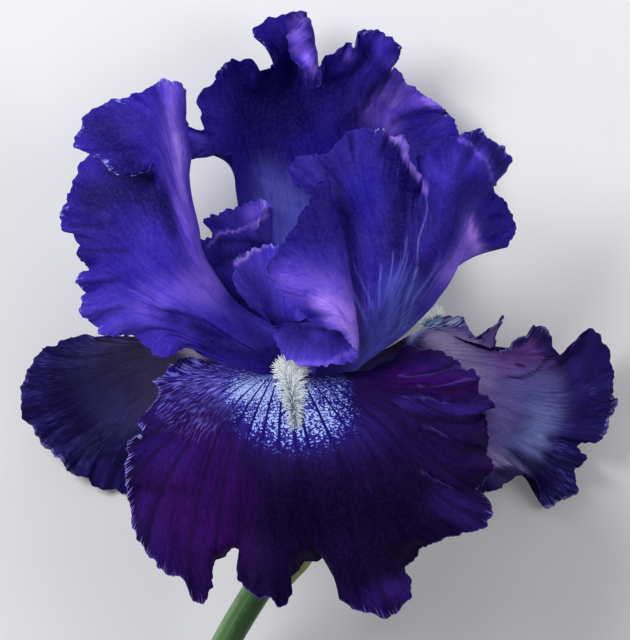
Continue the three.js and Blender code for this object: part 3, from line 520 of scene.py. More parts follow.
def ruffle(grid, ruffles, teeth, seed):
    """Waves the petal near its rim, dents its surface a little and cuts small teeth in its rim."""
    lean, lean_length = RUFFLE_LEAN
    middle, spread, spread_length = RUFFLE_REACH
    along = lengths_along(grid, 0)
    from_rim = along[-1:] - along
    round_rim = lengths_along(grid[-1:], 1)
    dents = DENT_DEPTH * wobble(grid[..., 0] / DENT_WIDTH, seed)
    lift = dents * wobble(grid[..., 1] / DENT_LENGTH, seed + 1)
    for number, (length, height, reach) in enumerate(ruffles):
        drift = lean * wobble(along / (lean_length * length), seed + number)
        wave = wobble(2 * math.pi * round_rim / length + drift, seed + 3 * number)
        uneven = middle + spread * wobble(round_rim / (spread_length * length), seed + 5 + number)
        lift = lift + height * wave * np.exp(-((from_rim / (reach * uneven)) ** 2))
    push = 0
    for number, (length, depth, reach) in enumerate(teeth):
        wave = wobble(2 * math.pi * round_rim / length, seed + 7 + number)
        push = push + depth * wave * np.exp(-((from_rim / reach) ** 2))
    outward = unit(np.gradient(grid, axis=0))
    return grid + lift[..., None] * normals_of(grid) + push[..., None] * outward


def cover(places, line, radius):
    """How fully each place is under a soft brush drawn along a line."""
    line = np.asarray(line, float)
    distance = np.full(places.shape[:-1], np.inf)
    for start, end in zip(line, line[1:] if len(line) > 1 else line):
        run = end - start
        share = np.clip(((places - start) @ run) / max(run @ run, TINY), 0, 1)
        distance = np.minimum(distance, np.linalg.norm(places - start - share[..., None] * run, axis=-1))
    return smooth_step(0, 1, 1 - distance / radius)


def fold_lift(places, line, reach, height):
    """A one-sided ridge: it stands up steeply at a line and slopes away on the line's left."""
    line = np.asarray(line, float)
    lengths = np.linalg.norm(np.diff(line, axis=0), axis=1)
    distance = np.full(places.shape[:-1], np.inf)
    left = np.zeros_like(distance)
    share = np.zeros_like(distance)
    for start, end, before, length in zip(line, line[1:], np.cumsum(lengths) - lengths, lengths):
        run = (end - start) / length
        offset = places - start
        along = np.clip(offset @ run, 0, length)
        gap = np.linalg.norm(offset - along[..., None] * run, axis=-1)
        nearer = gap < distance
        distance = np.where(nearer, gap, distance)
        left = np.where(nearer, run[0] * offset[..., 1] - run[1] * offset[..., 0], left)
        share = np.where(nearer, (before + along) / lengths.sum(), share)
    ends = smooth_step(0, FOLD_TAPER, share) * smooth_step(0, FOLD_TAPER, 1 - share)
    slope = smooth_step(0, FOLD_EDGE, distance) * (1 - smooth_step(0, reach, distance))
    return height * ends * np.where(left > 0, slope, 0)


def folded(grid, smooth_grid, paint):
    """Raises the creases and the steep folds that a petal's paint lists."""
    places = seen(smooth_grid)
    normals = normals_of(smooth_grid)
    for line, radius, height in paint.get("creases", []):
        grid = grid + (height * cover(places, line, radius))[..., None] * normals
    for fold in paint.get("folds", []):
        lift = fold_lift(places, *fold)[..., None] * normals
        grid = grid + np.sign(lift[..., 2].sum()) * lift
    return grid


def feathered_places(grid, along, seed, strength):
    """Seen places, pushed to and fro along the veins, so that brush strokes end in feathered edges."""
    outward = unit(np.gradient(grid, axis=0)[..., :2])
    column = np.arange(grid.shape[1])[None, :]
    push = sum(reach * wobble(column / width + along / FEATHER_LENGTH, seed + width)
               for width, reach in FEATHERS)
    drift = wobble(grid[..., 1] / DRIFT_LENGTH + grid[..., 0] / DRIFT_WIDTH, seed + 4)
    return seen(grid) + strength * push[..., None] * outward + drift[..., None] * np.array(DRIFT)


def brushed(places, strokes):
    """A painted amount: the strongest of the strokes over each place."""
    amount = np.zeros(places.shape[:-1])
    for line, radius, strength in strokes:
        amount = np.maximum(amount, strength * cover(places, line, radius))
    return amount


def tinted(places, ground, strokes):
    """A painted colour: strokes laid over a ground one after the other."""
    colours = np.empty((*places.shape[:-1], 4))
    colours[:] = linear(TINTS[ground])
    for tint, line, radius, strength in strokes:
        amount = strength * cover(places, line, radius)[..., None]
        colours += amount * (np.array(linear(TINTS[tint])) - colours)
    return colours


def to_row(points):
    """Drawing millimetres to metres in the shared frame."""
    return (points + np.array([*ORIGIN_SHIFT, FLOWER_TO_SURFACE])) * MM


def deselect():
    """Selects nothing."""
    for piece in list(bpy.context.selected_objects):
        piece.select_set(False)


def select_only(piece, *others):
    """Selects these pieces and nothing else. The first one is the active one."""
    deselect()
    for each in (piece, *others):
        each.select_set(True)
    bpy.context.view_layer.objects.active = piece


def laid_grid(name, points):
    """A grid of faces whose points are then moved onto the given ones, rows by columns."""
    rows, columns = points.shape[:2]
    deselect()
    bpy.ops.mesh.primitive_grid_add(x_subdivisions=columns - 1, y_subdivisions=rows - 1, size=1)
    piece = bpy.context.object
    piece.name = name
    piece.data.name = name
    flat = np.zeros(len(piece.data.vertices) * 3)
    piece.data.vertices.foreach_get("co", flat)
    flat = flat.reshape(-1, 3)
    column = np.rint((flat[:, 0] + 0.5) * (columns - 1)).astype(int)
    row = np.rint((flat[:, 1] + 0.5) * (rows - 1)).astype(int)
    piece.data.vertices.foreach_set("co", points[row, column].ravel())
    return piece, row, column


def keep_values(piece, name, values):
    """Keeps a number for each point of a piece, for its material to read."""
    attribute = piece.data.attributes.new(name, "FLOAT", "POINT")
    attribute.data.foreach_set("value", np.ascontiguousarray(values, np.float32))


def keep_colours(piece, name, colours):
    """Keeps a colour for each point of a piece, for its material to read."""
    attribute = piece.data.attributes.new(name, "FLOAT_COLOR", "POINT")
    attribute.data.foreach_set("color", np.ascontiguousarray(colours, np.float32).ravel())


def keep_map(piece, across, along):
    """The map that veins follow: the share across or round a piece, and decimetres along it."""
    layer = piece.data.uv_layers.active
    layer.name = "petal"
    corners = np.zeros(len(piece.data.loops), int)
    piece.data.loops.foreach_get("vertex_index", corners)
    places = np.stack([across[corners], along[corners] / DECIMETRE], axis=1)
    layer.data.foreach_set("uv", places.ravel())


def keep_paint(piece, paint, streaky_places, own_places, order):
    """Keeps a petal's painted colours and amounts. Strokes lie at seen places or at the petal's own ones."""
    for side in ("tint", "under_tint"):
        ground, strokes, at_own = paint.get(side, ("indigo", [], False))
        colours = tinted(own_places if at_own else streaky_places, ground, strokes)
        keep_colours(piece, side, colours[order])
    for mask in ("netted", "under_netted", "streaked", "comb_and_rim_glint"):
        strokes, at_own = paint.get(mask, ([], False))
        amounts = brushed(own_places if at_own else streaky_places, strokes)
        keep_values(piece, mask, amounts[order])


def thicken(piece, thickness, shares):
    """Gives a thin piece its thickness, which falls to the rim's where the shares fall to nothing."""
    group = piece.vertex_groups.new(name="thickness")
    steps = np.round(np.clip(shares, 0, 1) * THICKNESS_STEPS).astype(int)
    for step in range(THICKNESS_STEPS + 1):
        group.add(np.flatnonzero(steps == step).tolist(), step / THICKNESS_STEPS, "REPLACE")
    solidify = piece.modifiers.new("Thickness", "SOLIDIFY")
    solidify.thickness = thickness * MM
    solidify.offset = 0
    solidify.material_offset = 1
    solidify.vertex_group = group.name
    solidify.thickness_vertex_group = RIM_THICKNESS
    select_only(piece)
    bpy.ops.object.modifier_apply(modifier=solidify.name)
    piece.vertex_groups.clear()


def finish_piece(piece, slot, *nodes):
    """Smooths a piece and says what it rides on and which nodes it takes the place of. slot, what it is made
    of, is not used.
    """
    select_only(piece)
    bpy.ops.object.shade_smooth()
    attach(piece, "root")
    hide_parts(*nodes)


def petal(name, node, slot, rings, rows, columns, ruffles, teeth, seed, turn, looks, paint,
          thickness=PETAL_THICKNESS):
    """One petal or bract, drawn with the curves in rings. looks are the materials of its outer and inner
    faces, which change places where turn is -1, and paint says how it is folded and what is painted on it."""
    smooth_grid = fine_grid(rings, rows, columns)
    along = lengths_along(smooth_grid, 0)
    sideways = lengths_along(smooth_grid, 1)
    from_rim = np.minimum(along[-1:] - along, np.minimum(sideways, sideways[:, -1:] - sideways))
    round_rim = np.broadcast_to(lengths_along(smooth_grid[-1:], 1), along.shape)
    levels = np.array(levels_of(rows))[:, None]
    own_places = np.stack(np.broadcast_arrays(np.linspace(0, 1, columns), levels), axis=-1)
    streaky_places = feathered_places(smooth_grid, along, seed, paint.get("feathering", 1.0))

    grid = folded(ruffle(smooth_grid, ruffles, teeth, seed), smooth_grid, paint)
    grid[..., 2] = np.maximum(grid[..., 2], thickness / 2 - FLOWER_TO_SURFACE)
    piece, row, column = laid_grid(name, to_row(grid))
    keep_map(piece, column / (columns - 1), along[row, column])
    keep_values(piece, "from_rim", from_rim[row, column])
    keep_values(piece, "round_rim", round_rim[row, column])
    keep_paint(piece, paint, streaky_places, own_places, (row, column))
    for look in looks[::turn]:
        piece.data.materials.append(look)
    thicken(piece, thickness, from_rim[row, column] / RIM_TAPER)
    finish_piece(piece, slot, node)


def read_off(values, known, places):
    """Points at places between the known ones."""
    return np.stack([np.interp(places, known, values[:, axis]) for axis in range(3)], axis=1)


def evenly(points, shares):
    """Points of a smooth curve at shares of its length, with the curve's direction there."""
    fine = through(points, np.linspace(0, 1, CURVE_STEPS))
    run = lengths_along(fine, 0)
    places = np.asarray(shares) * run[-1]
    directions = read_off(np.gradient(fine, axis=0), run, places)
    return read_off(fine, run, places), directions / np.linalg.norm(directions, axis=1, keepdims=True)


def spokes_of(directions, angles):
    """Directions square to a round body's line, at angles round it: a quarter turn faces up."""
    up = np.array([0, 0, 1.0]) - directions * directions[:, 2:]
    up /= np.linalg.norm(up, axis=1, keepdims=True)
    side = np.cross(directions, up)
    return side[:, None] * np.cos(angles)[..., None] + up[:, None] * np.sin(angles)[..., None]


def close_seams(piece):
    """Merges the points of a seam or an end that lie on each other, and turns all faces outwards."""
    select_only(piece)
    bpy.ops.object.mode_set(mode="EDIT")
    bpy.ops.mesh.select_all(action="SELECT")
    bpy.ops.mesh.remove_doubles(threshold=MERGE_DISTANCE * MM)
    bpy.ops.mesh.normals_make_consistent(inside=False)
    bpy.ops.object.mode_set(mode="OBJECT")


def rows_of(count):
    """Rows of a round body: its rounded ends, with full rows between them."""
    full_rows = [(share, 1, 0) for share in np.linspace(END_MARGIN, 1 - END_MARGIN, count)]
    return [*ROUNDED_START, *full_rows, *ROUNDED_END]


def swept(name, points, stretch, rows, radius_of, sides):
    """A closed round body along a stretch of a line. A row gives a share of the stretch, a share of the
    radius there and a step along the line."""
    shares, fullness, steps = np.array(rows, float).T
    centres, directions = evenly(points, stretch[0] + (stretch[1] - stretch[0]) * shares)
    angles = np.linspace(0, 2 * math.pi, sides + 1)[None, :]
    reach = fullness[:, None] * radius_of(shares[:, None], angles)
    grid = (centres + directions * steps[:, None])[:, None] + reach[..., None] * spokes_of(directions, angles)
    grid[..., 2] = np.maximum(grid[..., 2], -FLOWER_TO_SURFACE)
    piece, row, column = laid_grid(name, to_row(grid))
    keep_map(piece, column / sides, lengths_along(grid, 0)[row, column])
    keep_values(piece, "along", shares[row])
    keep_values(piece, "end", (fullness < END_FULLNESS)[row])
    close_seams(piece)
    return piece


def ovary_radius(share, angle):
    """The trumpet mouth narrows to the slim tube, which swells into a three-lobed, six-ribbed ovary."""
    rib, rib_count = OVARY_RIBS
    bump, round_waves, long_waves = OVARY_BUMPS
    mouth = (TUBE_MOUTH_RADIUS - TUBE_RADIUS) * (1 - smooth_step(0, MOUTH_END, share))
    swelling = smooth_step(*SWELLS, share) * (1 - smooth_step(*SLIMS, share))
    rounds = np.cos(LOBE_COUNT * angle) + LOBE_GROOVES * np.cos(2 * LOBE_COUNT * angle)
    bumps = bump * swelling * wobble(round_waves * angle + long_waves * share, 2.0)
    ribs = rib * np.cos(rib_count * angle) + bumps
    ovary = (OVARY_RADIUS - TUBE_RADIUS) * swelling
    return TUBE_RADIUS + mouth + ovary + OVARY_LOBES * swelling * rounds + ribs


def stem_radius(share, angle):
    """A ridged stem, a little thicker where the bracts grow from it, with fine ribs between its ridges."""
    rib, rib_count = STEM_RIBS
    waver, waver_waves = RIB_WAVER
    bump, long_waves, round_waves = STEM_BUMPS
    node = STEM_NODE_SWELL * (1 - smooth_step(0, STEM_NODE_SHARE, share))
    ridges = STEM_RIDGE * np.cos(STEM_RIDGE_COUNT * angle + STEM_RIDGE_TWIST * share)
    ribs = rib * np.cos(rib_count * angle + waver * wobble(waver_waves * share, 1.0))
    ribs = ribs + bump * wobble(long_waves * share + round_waves * np.cos(angle), 4.0)
    return STEM_RADIUS + node + ridges + ribs - STEM_TAPER * share


def bract_rings(direction, base, tip, half_angle, clearance):
    """A papery bract wraps the ovary from the stem's top and narrows to a point beside the tube."""
    snug = OVARY_RADIUS + OVARY_LOBES + GAP + BRACT_CLEARANCE
    shares, radii, opened = np.array(BRACT_SHAPE, float).T
    centres, directions = evenly(AXIS, base + (tip - base) * shares)
    across = np.linspace(-1, 1, BRACT_POINTS)[None, :]
    angles = np.radians(direction + across * half_angle * opened[:, None])
    reach = (snug + radii + clearance)[:, None, None]
    return centres[:, None] + reach * spokes_of(directions, angles)


def stamen_radius(share, angle):
    """A thin filament that carries a long, flattened anther, grooved where its two sacs meet."""
    along = np.clip((share - ANTHER_START) / (1 - ANTHER_START), 0, 1)
    roundness = np.minimum(1, ANTHER_BLUNTNESS + (1 - 2 * ANTHER_BLUNTNESS) * along)
    swell = np.where(along > 0, np.sqrt(np.sin(math.pi * roundness)), 0)
    groove = ANTHER_GROOVE * np.exp(-((np.sin(angle) - 1) / GROOVE_WIDTH) ** 2)
    anther = ANTHER_SWELL + ANTHER_FLATTENING * np.cos(2 * angle) - groove
    return FILAMENT_RADIUS * (1 - FILAMENT_SLIMMING * swell) + swell * anther


def strand():
    """One hair, standing at the origin: a thin strand that narrows, bends over and ends in a blunt tip."""
    deselect()
    bpy.ops.mesh.primitive_circle_add(vertices=HAIR_SIDES, radius=HAIR_RADIUS * MM, fill_type="NGON")
    hair = bpy.context.object
    bpy.ops.object.mode_set(mode="EDIT")
    for narrowing in HAIR_NARROWING:
        bpy.ops.mesh.extrude_region_move(
            TRANSFORM_OT_translate={"value": (0, 0, HAIR_LENGTH * MM / len(HAIR_NARROWING))})
        bpy.ops.transform.resize(value=(narrowing, narrowing, 1))
    bpy.ops.object.mode_set(mode="OBJECT")
    heights = np.array([vertex.co.z for vertex in hair.data.vertices]) / (HAIR_LENGTH * MM)
    for vertex, height in zip(hair.data.vertices, heights):
        vertex.co.y += HAIR_BEND * MM * height * height
    keep_values(hair, "tip", heights)
    return hair


def beard_line(rings, start, end, place_across):
    """The line of a beard's ridge, a little above the fall, and the directions square to the fall there."""
    grid = fine_grid(rings, FALL_ROWS, BEARD_COLUMNS)
    middle = round(place_across * (BEARD_COLUMNS - 1))
    levels = np.array(levels_of(FALL_ROWS))
    rows = np.arange(len(levels))
    places = np.interp(np.linspace(start, end, BEARD_STATIONS), levels, rows)
    normals = read_off(normals_of(grid)[:, middle], rows, places)
    normals *= -1 if normals[0, 1] < 0 else 1
    return read_off(grid[:, middle], rows, places) + normals * BEARD_LIFT, normals


def beard_ridge(name, line, seed):
    """The soft ridge that a beard's hairs stand on, rounded at both ends."""
    bump, round_waves, long_waves = RIDGE_BUMPS

    def ridge_radius(share, angle):
        roundness = np.sin(math.pi * (RIDGE_BLUNTNESS + (1 - 2 * RIDGE_BLUNTNESS) * share))
        uneven = 1 + bump * wobble(round_waves * angle + long_waves * share, seed)
        return RIDGE_RADIUS * np.sqrt(np.clip(roundness, LEAST_ROUNDNESS, 1)) * uneven

    full_rows = [(share, 1, 0) for share in np.linspace(0, 1, RIDGE_ROWS)]
    rows = [(0, 0, 0), *full_rows, (1, 0, 0)]
    ridge = swept(name, line, (0, 1), rows, ridge_radius, RIDGE_SIDES)
    keep_values(ridge, "tip", np.zeros(len(ridge.data.vertices)))
    return ridge


def set_hair(template, chance, share, centre, forward, up, lean):
    """A copy of the strand on the ridge, leaning to one side, swept along the beard and bent outwards."""
    out = up * math.cos(lean) + np.cross(forward, up) * math.sin(lean)
    sweep = np.interp(share, *HAIR_SWEEP) + SWEEP_SCATTER * chance.standard_normal()
    direction = out + forward * sweep + LEAN_SCATTER * chance.standard_normal(3)
    direction /= np.linalg.norm(direction)
    bend = forward - direction * (forward @ direction)
    bend /= np.linalg.norm(bend)
    size = (SMALLEST_HAIR + SIZE_SCATTER * chance.random()) * np.interp(share, *HAIR_SIZES)
    turn = np.stack([np.cross(bend, direction), bend, direction], axis=1) * size
    place = Matrix(turn.tolist()).to_4x4()
    place.translation = to_row(centre + out * RIDGE_RADIUS * HAIR_DEPTH)
    mesh = template.data.copy()
    mesh.transform(place)
    hair = bpy.data.objects.new(template.name, mesh)
    bpy.context.collection.objects.link(hair)
    return hair


def beard(name, rings, stretch, seed):
    """A ridge along a fall's haft, set with stiff hairs that part to both sides and fan out at its root.
    stretch gives the shares of the fall's length where it starts and ends, and its place across the fall."""
    line, normals = beard_line(rings, *stretch)
    ridge = beard_ridge(name, line, seed)
    chance = np.random.default_rng(seed)
    template = strand()
    hair_count = round(HAIRS_TO_A_MILLIMETRE * lengths_along(line, 0)[-1])
    shares = np.sort(chance.random(hair_count)) ** HAIR_CROWDING
    centres, forwards = evenly(line, shares)
    ups = read_off(normals, np.linspace(0, 1, BEARD_STATIONS), shares)
    leans = np.radians(WIDEST_LEAN) * (2 * ((np.arange(hair_count) * GOLDEN_SHARE) % 1) - 1)
    places = zip(shares, centres, forwards, ups, leans)
    hairs = [set_hair(template, chance, *place) for place in places]
    bpy.data.objects.remove(template)
    select_only(ridge, *hairs)
    bpy.ops.object.join()
    return ridge


# Patterns that follow a petal's veins: millimetres from one streak to the next where the petal is widest,
# millimetres along a streak, and how finely it breaks up
PETAL_WIDTH = 100
PETAL_PATTERNS = {
    "veins": (0.6667, 20, 3), "broad_veins": (2.941, 33.33, 3), "streaks": (1.0526, 6.25, 3),
    "netting": (0.4545, 1.111, 3), "worms": (1.1364, 1.087, 1), "threads": (0.2703, 3.333, 2),
    "fibres": (0.2381, 2.222, 2),
}
# Patterns all over a petal: millimetres from spot to spot. Real cells are far smaller than a pixel, so the
# grain that stands for them is drawn as coarse as it needs to show
PLACE_PATTERNS = {"clouds": 22.22, "mottle": 3.846, "grain": 0.7692}
FINE_DETAIL = 4
# Millimetres between the main veins where a petal is widest, and between the stripes at a fall's rim
SATIN_VEINS = 3.333
VELVET_VEINS = 4.545
UNDERSIDE_VEINS = 3.846
RIM_STRIPES = 0.8
# Fibres of the smaller pieces: the width that they are spread over, one fibre's width and its length
STEM_FIBRES = (2 * math.pi * STEM_RADIUS, 0.377, 33.33)
BRACT_FIBRES = (22.5, 0.25, 50)
STAMEN_FIBRES = (2 * math.pi * FILAMENT_RADIUS, 0.132, 5)
TISSUE_SPOTS = 6.25
# Living tissue: it bends light a little more than water does and lets some of it through, most of all blue
TISSUE_IOR = 1.4
LIGHT_LET_THROUGH = 0.1
LIGHT_REACH = (0.5, 0.3, 1.0)
LIGHT_DEPTH = 1.0
RELIEF_STRENGTH = 0.5
SHEEN_ROUGHNESS = 0.4


def linear(colour):
    """An sRGB hex colour as linear red, green, blue and alpha."""
    channels = [int(colour[start:start + 2], 16) / 255 for start in (1, 3, 5)]
    light = [value / 12.92 if value <= 0.04045 else ((value + 0.055) / 1.055) ** 2.4 for value in channels]
    return (*light, 1)


def add(tree, kind, feeds=None, **settings):
    """Adds a node. feeds gives its inputs, by name or number, a value or another node's output."""
    node = tree.nodes.new(kind)
    for name, value in settings.items():
        setattr(node, name, value)
    for name, value in (feeds or {}).items():
        if isinstance(value, bpy.types.NodeSocket):
            tree.links.new(value, node.inputs[name])
        else:
            node.inputs[name].default_value = value
    return node


def painted(tree, colour, layers):
    """Lays colours over a first one. A layer is a signal, where it starts and is full, its strength, its
    colour and how it blends. The strength may be another signal."""
    for signal, start, full, strength, over, blend in layers:
        feeds = {"Value": signal, "From Min": start, "From Max": full, "To Max": strength}
        amount = add(tree, "ShaderNodeMapRange", feeds, interpolation_type="SMOOTHSTEP").outputs[0]
        feeds = {0: amount, 6: colour, 7: linear(over)}
        colour = add(tree, "ShaderNodeMix", feeds, data_type="RGBA", blend_type=blend).outputs[2]
    return colour


def weighed(tree, *parts):
    """A sum of signals, each times its weight."""
    total = 0.0
    for signal, weight in parts:
        feeds = {0: signal, 1: weight, 2: total}
        total = add(tree, "ShaderNodeMath", feeds, operation="MULTIPLY_ADD").outputs[0]
    return total


def new_material(name):
    """A new material, with its nodes and its shader."""
    material = bpy.data.materials.new(name)
    material.use_nodes = True
    return material, material.node_tree, material.node_tree.nodes["Principled BSDF"]


def petal_signals(tree, vein_spacing):
    """What petal materials share: painted amounts, veins, mottling and the distance from the rim."""
    signals = {name: add(tree, "ShaderNodeAttribute", attribute_name=name).outputs["Fac"]
               for name in ("netted", "under_netted", "streaked", "comb_and_rim_glint", "from_rim", "round_rim")}
    petal_map = add(tree, "ShaderNodeUVMap", uv_map="petal").outputs["UV"]
    for name, (width, length, detail) in PETAL_PATTERNS.items():
        feeds = {"Vector": petal_map, "Scale": (PETAL_WIDTH / width, DECIMETRE / length, 1)}
        feeds = {"Vector": add(tree, "ShaderNodeMapping", feeds).outputs[0], "Scale": 1, "Detail": detail}
        signals[name] = add(tree, "ShaderNodeTexNoise", feeds).outputs[0]
    place = add(tree, "ShaderNodeTexCoord").outputs["Object"]
    for name, size in PLACE_PATTERNS.items():
        feeds = {"Vector": place, "Scale": 1 / (size * MM), "Detail": FINE_DETAIL}
        signals[name] = add(tree, "ShaderNodeTexNoise", feeds).outputs[0]
    across, signals["along"] = add(tree, "ShaderNodeSeparateXYZ", {"Vector": petal_map}).outputs[:2]
    unsteady = weighed(tree, (across, 1.0), (signals["clouds"], 0.012), (signals["mottle"], 0.004))
    feeds = {"W": unsteady, "Scale": PETAL_WIDTH / vein_spacing}
    signals["main_veins"] = add(tree, "ShaderNodeTexVoronoi", feeds, feature="DISTANCE_TO_EDGE",
                                voronoi_dimensions="1D").outputs[0]
    return signals


def soft_finish(tree, shader, colour, relief, roughness, specular, height):
    """The finish of living tissue: satin, with a little light let through and a fine relief. Its height is
    in millimetres."""
    shader.inputs["Roughness"].default_value = roughness
    shader.inputs["IOR"].default_value = TISSUE_IOR
    shader.inputs["Specular IOR Level"].default_value = specular
    shader.inputs["Subsurface Weight"].default_value = LIGHT_LET_THROUGH
    shader.inputs["Subsurface Radius"].default_value = LIGHT_REACH
    shader.inputs["Subsurface Scale"].default_value = LIGHT_DEPTH * MM
    feeds = {"Height": relief, "Strength": RELIEF_STRENGTH, "Distance": height * MM}
    tree.links.new(add(tree, "ShaderNodeBump", feeds).outputs[0], shader.inputs["Normal"])
    tree.links.new(colour, shader.inputs["Base Color"])


def soft_sheen(shader, weight, tint):
    """The bloom of fine surface cells, which catch light where a petal turns away."""
    shader.inputs["Sheen Weight"].default_value = weight
    shader.inputs["Sheen Roughness"].default_value = SHEEN_ROUGHNESS
    shader.inputs["Sheen Tint"].default_value = linear(tint)


def petal_relief(tree, signals):
    """Veins, fibres and cells that stand out a little."""
    return weighed(tree, (signals["veins"], 1.0), (signals["fibres"], 0.7), (signals["grain"], 0.5))


def satin_petal(name, rim_glint_colour):
    """Blue-violet petal tissue: satin, mottled and finely veined, with painted highlights flecked along its
    thin, crimped rim.
    """
    material, tree, shader = new_material(name)
    signals = petal_signals(tree, SATIN_VEINS)
    tint = add(tree, "ShaderNodeAttribute", attribute_name="tint").outputs["Color"]
    thin = weighed(tree, (signals["netting"], 1.6), (signals["clouds"], 1.2), (signals["from_rim"], -0.9))
    rim_glints = weighed(tree, (signals["netting"], 1.4), (signals["streaks"], 1.4),
                      (signals["from_rim"], -0.16))
    lines = weighed(tree, (signals["main_veins"], 1.0), (signals["broad_veins"], 0.7),
                    (signals["clouds"], 0.3))
    colour = painted(tree, tint, [
        (signals["clouds"], 0.35, 0.68, 0.5, "#a69cf0", "MULTIPLY"),
        (signals["mottle"], 0.5, 0.72, 0.45, "#9a90e8", "MULTIPLY"),
        (signals["broad_veins"], 0.5, 0.72, 0.5, "#8c82e0", "MULTIPLY"),
        (signals["veins"], 0.5, 0.75, 0.5, "#887ee0", "MULTIPLY"),
        (signals["fibres"], 0.42, 0.62, 0.4, "#a098ec", "MULTIPLY"),
        (signals["streaks"], 0.55, 0.75, 0.12, "#5a4ad0", "SCREEN"),
        (signals["grain"], 0.4, 0.75, 0.08, "#6a60e0", "SCREEN"),
        (lines, 0.62, 0.45, signals["streaked"], "#5058b8", "MIX"),
        (lines, 0.54, 0.47, signals["streaked"], "#727cd4", "MIX"),
        (thin, 1.3, 2.0, 0.5, "#6264d4", "MIX"),
        # Painted highlights, flecked along the rim where the brushed amounts say
        (rim_glints, 1.3, 1.75, signals["comb_and_rim_glint"], rim_glint_colour, "MIX"),
    ])
    soft_finish(tree, shader, colour, petal_relief(tree, signals), roughness=0.55, specular=0.07, height=0.2)
    soft_sheen(shader, weight=0.06, tint="#5a40f0")
    return material


def velvet_fall(name):
    """The upper face of a fall: velvet, nearly black violet, with a blue-white field that is netted and
    lined with dark veins, pale streaks on its shoulders and a comb of pale stripes round its rim."""
    material, tree, shader = new_material(name)
    signals = petal_signals(tree, VELVET_VEINS)
    tint = add(tree, "ShaderNodeAttribute", attribute_name="tint").outputs["Color"]
    off_middle = add(tree, "ShaderNodeMath", {0: signals["worms"], 1: 0.5}, operation="SUBTRACT").outputs[0]
    off_middle = add(tree, "ShaderNodeMath", {0: off_middle}, operation="ABSOLUTE").outputs[0]
    feeds = {"Value": signals["netted"], "From Min": 0.02, "From Max": 0.3}
    field = add(tree, "ShaderNodeMapRange", feeds).outputs[0]
    feeds = {"Value": signals["netted"], "From Min": 0.1, "From Max": 0.65}
    glow = add(tree, "ShaderNodeMapRange", feeds).outputs[0]
    islands = weighed(tree, (off_middle, 1.0), (signals["netted"], 0.14), (signals["broad_veins"], 0.1))
    bright_islands = weighed(tree, (off_middle, 1.0), (signals["netted"], 0.22), (signals["clouds"], 0.1))
    dashes = weighed(tree, (signals["threads"], 1.0), (signals["streaked"], 0.085))
    feeds = {"W": signals["round_rim"], "Scale": 1 / RIM_STRIPES}
    stripes = add(tree, "ShaderNodeTexVoronoi", feeds, feature="DISTANCE_TO_EDGE",
                  voronoi_dimensions="1D").outputs[0]
    comb = weighed(tree, (stripes, 1.0), (signals["from_rim"], -0.15), (signals["streaks"], 0.6))
    fringe = weighed(tree, (signals["from_rim"], -1.0), (signals["netting"], 0.8))
    colour = painted(tree, tint, [
        (signals["clouds"], 0.35, 0.68, 0.55, "#a090d0", "MULTIPLY"),
        (signals["broad_veins"], 0.48, 0.7, 0.55, "#8070b8", "MULTIPLY"),
        (signals["veins"], 0.5, 0.72, 0.5, "#8274bc", "MULTIPLY"),
        (signals["fibres"], 0.42, 0.62, 0.45, "#8c7cc8", "MULTIPLY"),
        (signals["grain"], 0.4, 0.75, 0.03, "#6a48d0", "SCREEN"),
        (signals["streaks"], 0.56, 0.8, 0.06, "#5a34a8", "SCREEN"),
        (signals["main_veins"], 0.14, 0.04, 0.6, "#12082c", "MIX"),
        (signals["netted"], 0.0, 0.8, 0.85, "#241c80", "MIX"),
        (dashes, 0.57, 0.66, signals["streaked"], "#6662c2", "MIX"),
        (islands, 0.205, 0.24, field, "#525eba", "MIX"),
        (bright_islands, 0.255, 0.32, glow, "#9aade2", "MIX"),
        (signals["main_veins"], 0.13, 0.07, field, "#140e5a", "MIX"),
        (comb, 0.52, 0.66, signals["comb_and_rim_glint"], "#8078d0", "MIX"),
        (fringe, 0.0, 0.35, 0.35, "#6a60c0", "MIX"),
    ])
    soft_finish(tree, shader, colour, petal_relief(tree, signals), roughness=0.6, specular=0.03, height=0.2)
    soft_sheen(shader, weight=0.02, tint="#5020e0")
    return material


def fall_underside(name):
    """The under face of a fall: dull cream and mauve in the middle, with a purple margin, finely striped."""
    material, tree, shader = new_material(name)
    signals = petal_signals(tree, UNDERSIDE_VEINS)
    tint = add(tree, "ShaderNodeAttribute", attribute_name="under_tint").outputs["Color"]
    margin = weighed(tree, (signals["veins"], 10.0), (signals["from_rim"], 1.0), (signals["along"], -30.0))
    dots = weighed(tree, (signals["netting"], -6.0), (signals["from_rim"], 1.0))
    dashes = weighed(tree, (signals["threads"], 1.0), (signals["streaked"], 0.11))
    stripes = weighed(tree, (signals["threads"], 1.0), (signals["under_netted"], 0.12))
    vein_lines = weighed(tree, (signals["main_veins"], 1.0), (signals["broad_veins"], 0.25))
    colour = painted(tree, tint, [
        (signals["clouds"], 0.35, 0.68, 0.4, "#b0a8d8", "MULTIPLY"),
        (signals["veins"], 0.5, 0.72, 0.5, "#9488c4", "MULTIPLY"),
        (signals["fibres"], 0.42, 0.62, 0.4, "#a49cd0", "MULTIPLY"),
        (signals["broad_veins"], 0.55, 0.75, 0.45, "#8478bc", "MULTIPLY"),
        (vein_lines, 0.19, 0.13, 0.4, "#342c66", "MIX"),
        (margin, -7.0, -11.0, 0.85, "#1c1254", "MIX"),
        (signals["under_netted"], 0.0, 0.6, 0.9, "#2c2074", "MIX"),
        (stripes, 0.56, 0.64, signals["under_netted"], "#aab4e0", "MIX"),
        (signals["mottle"], 0.5, 0.7, 0.25, "#8478b8", "MULTIPLY"),
        (dashes, 0.56, 0.7, signals["streaked"], "#4c489c", "MIX"),
        (dots, -1.9, -3.0, signals["comb_and_rim_glint"], "#847cc8", "MIX"),
    ])
    soft_finish(tree, shader, colour, petal_relief(tree, signals), roughness=0.6, specular=0.1, height=0.16)
    soft_sheen(shader, weight=0.05, tint="#a090e0")
    return material


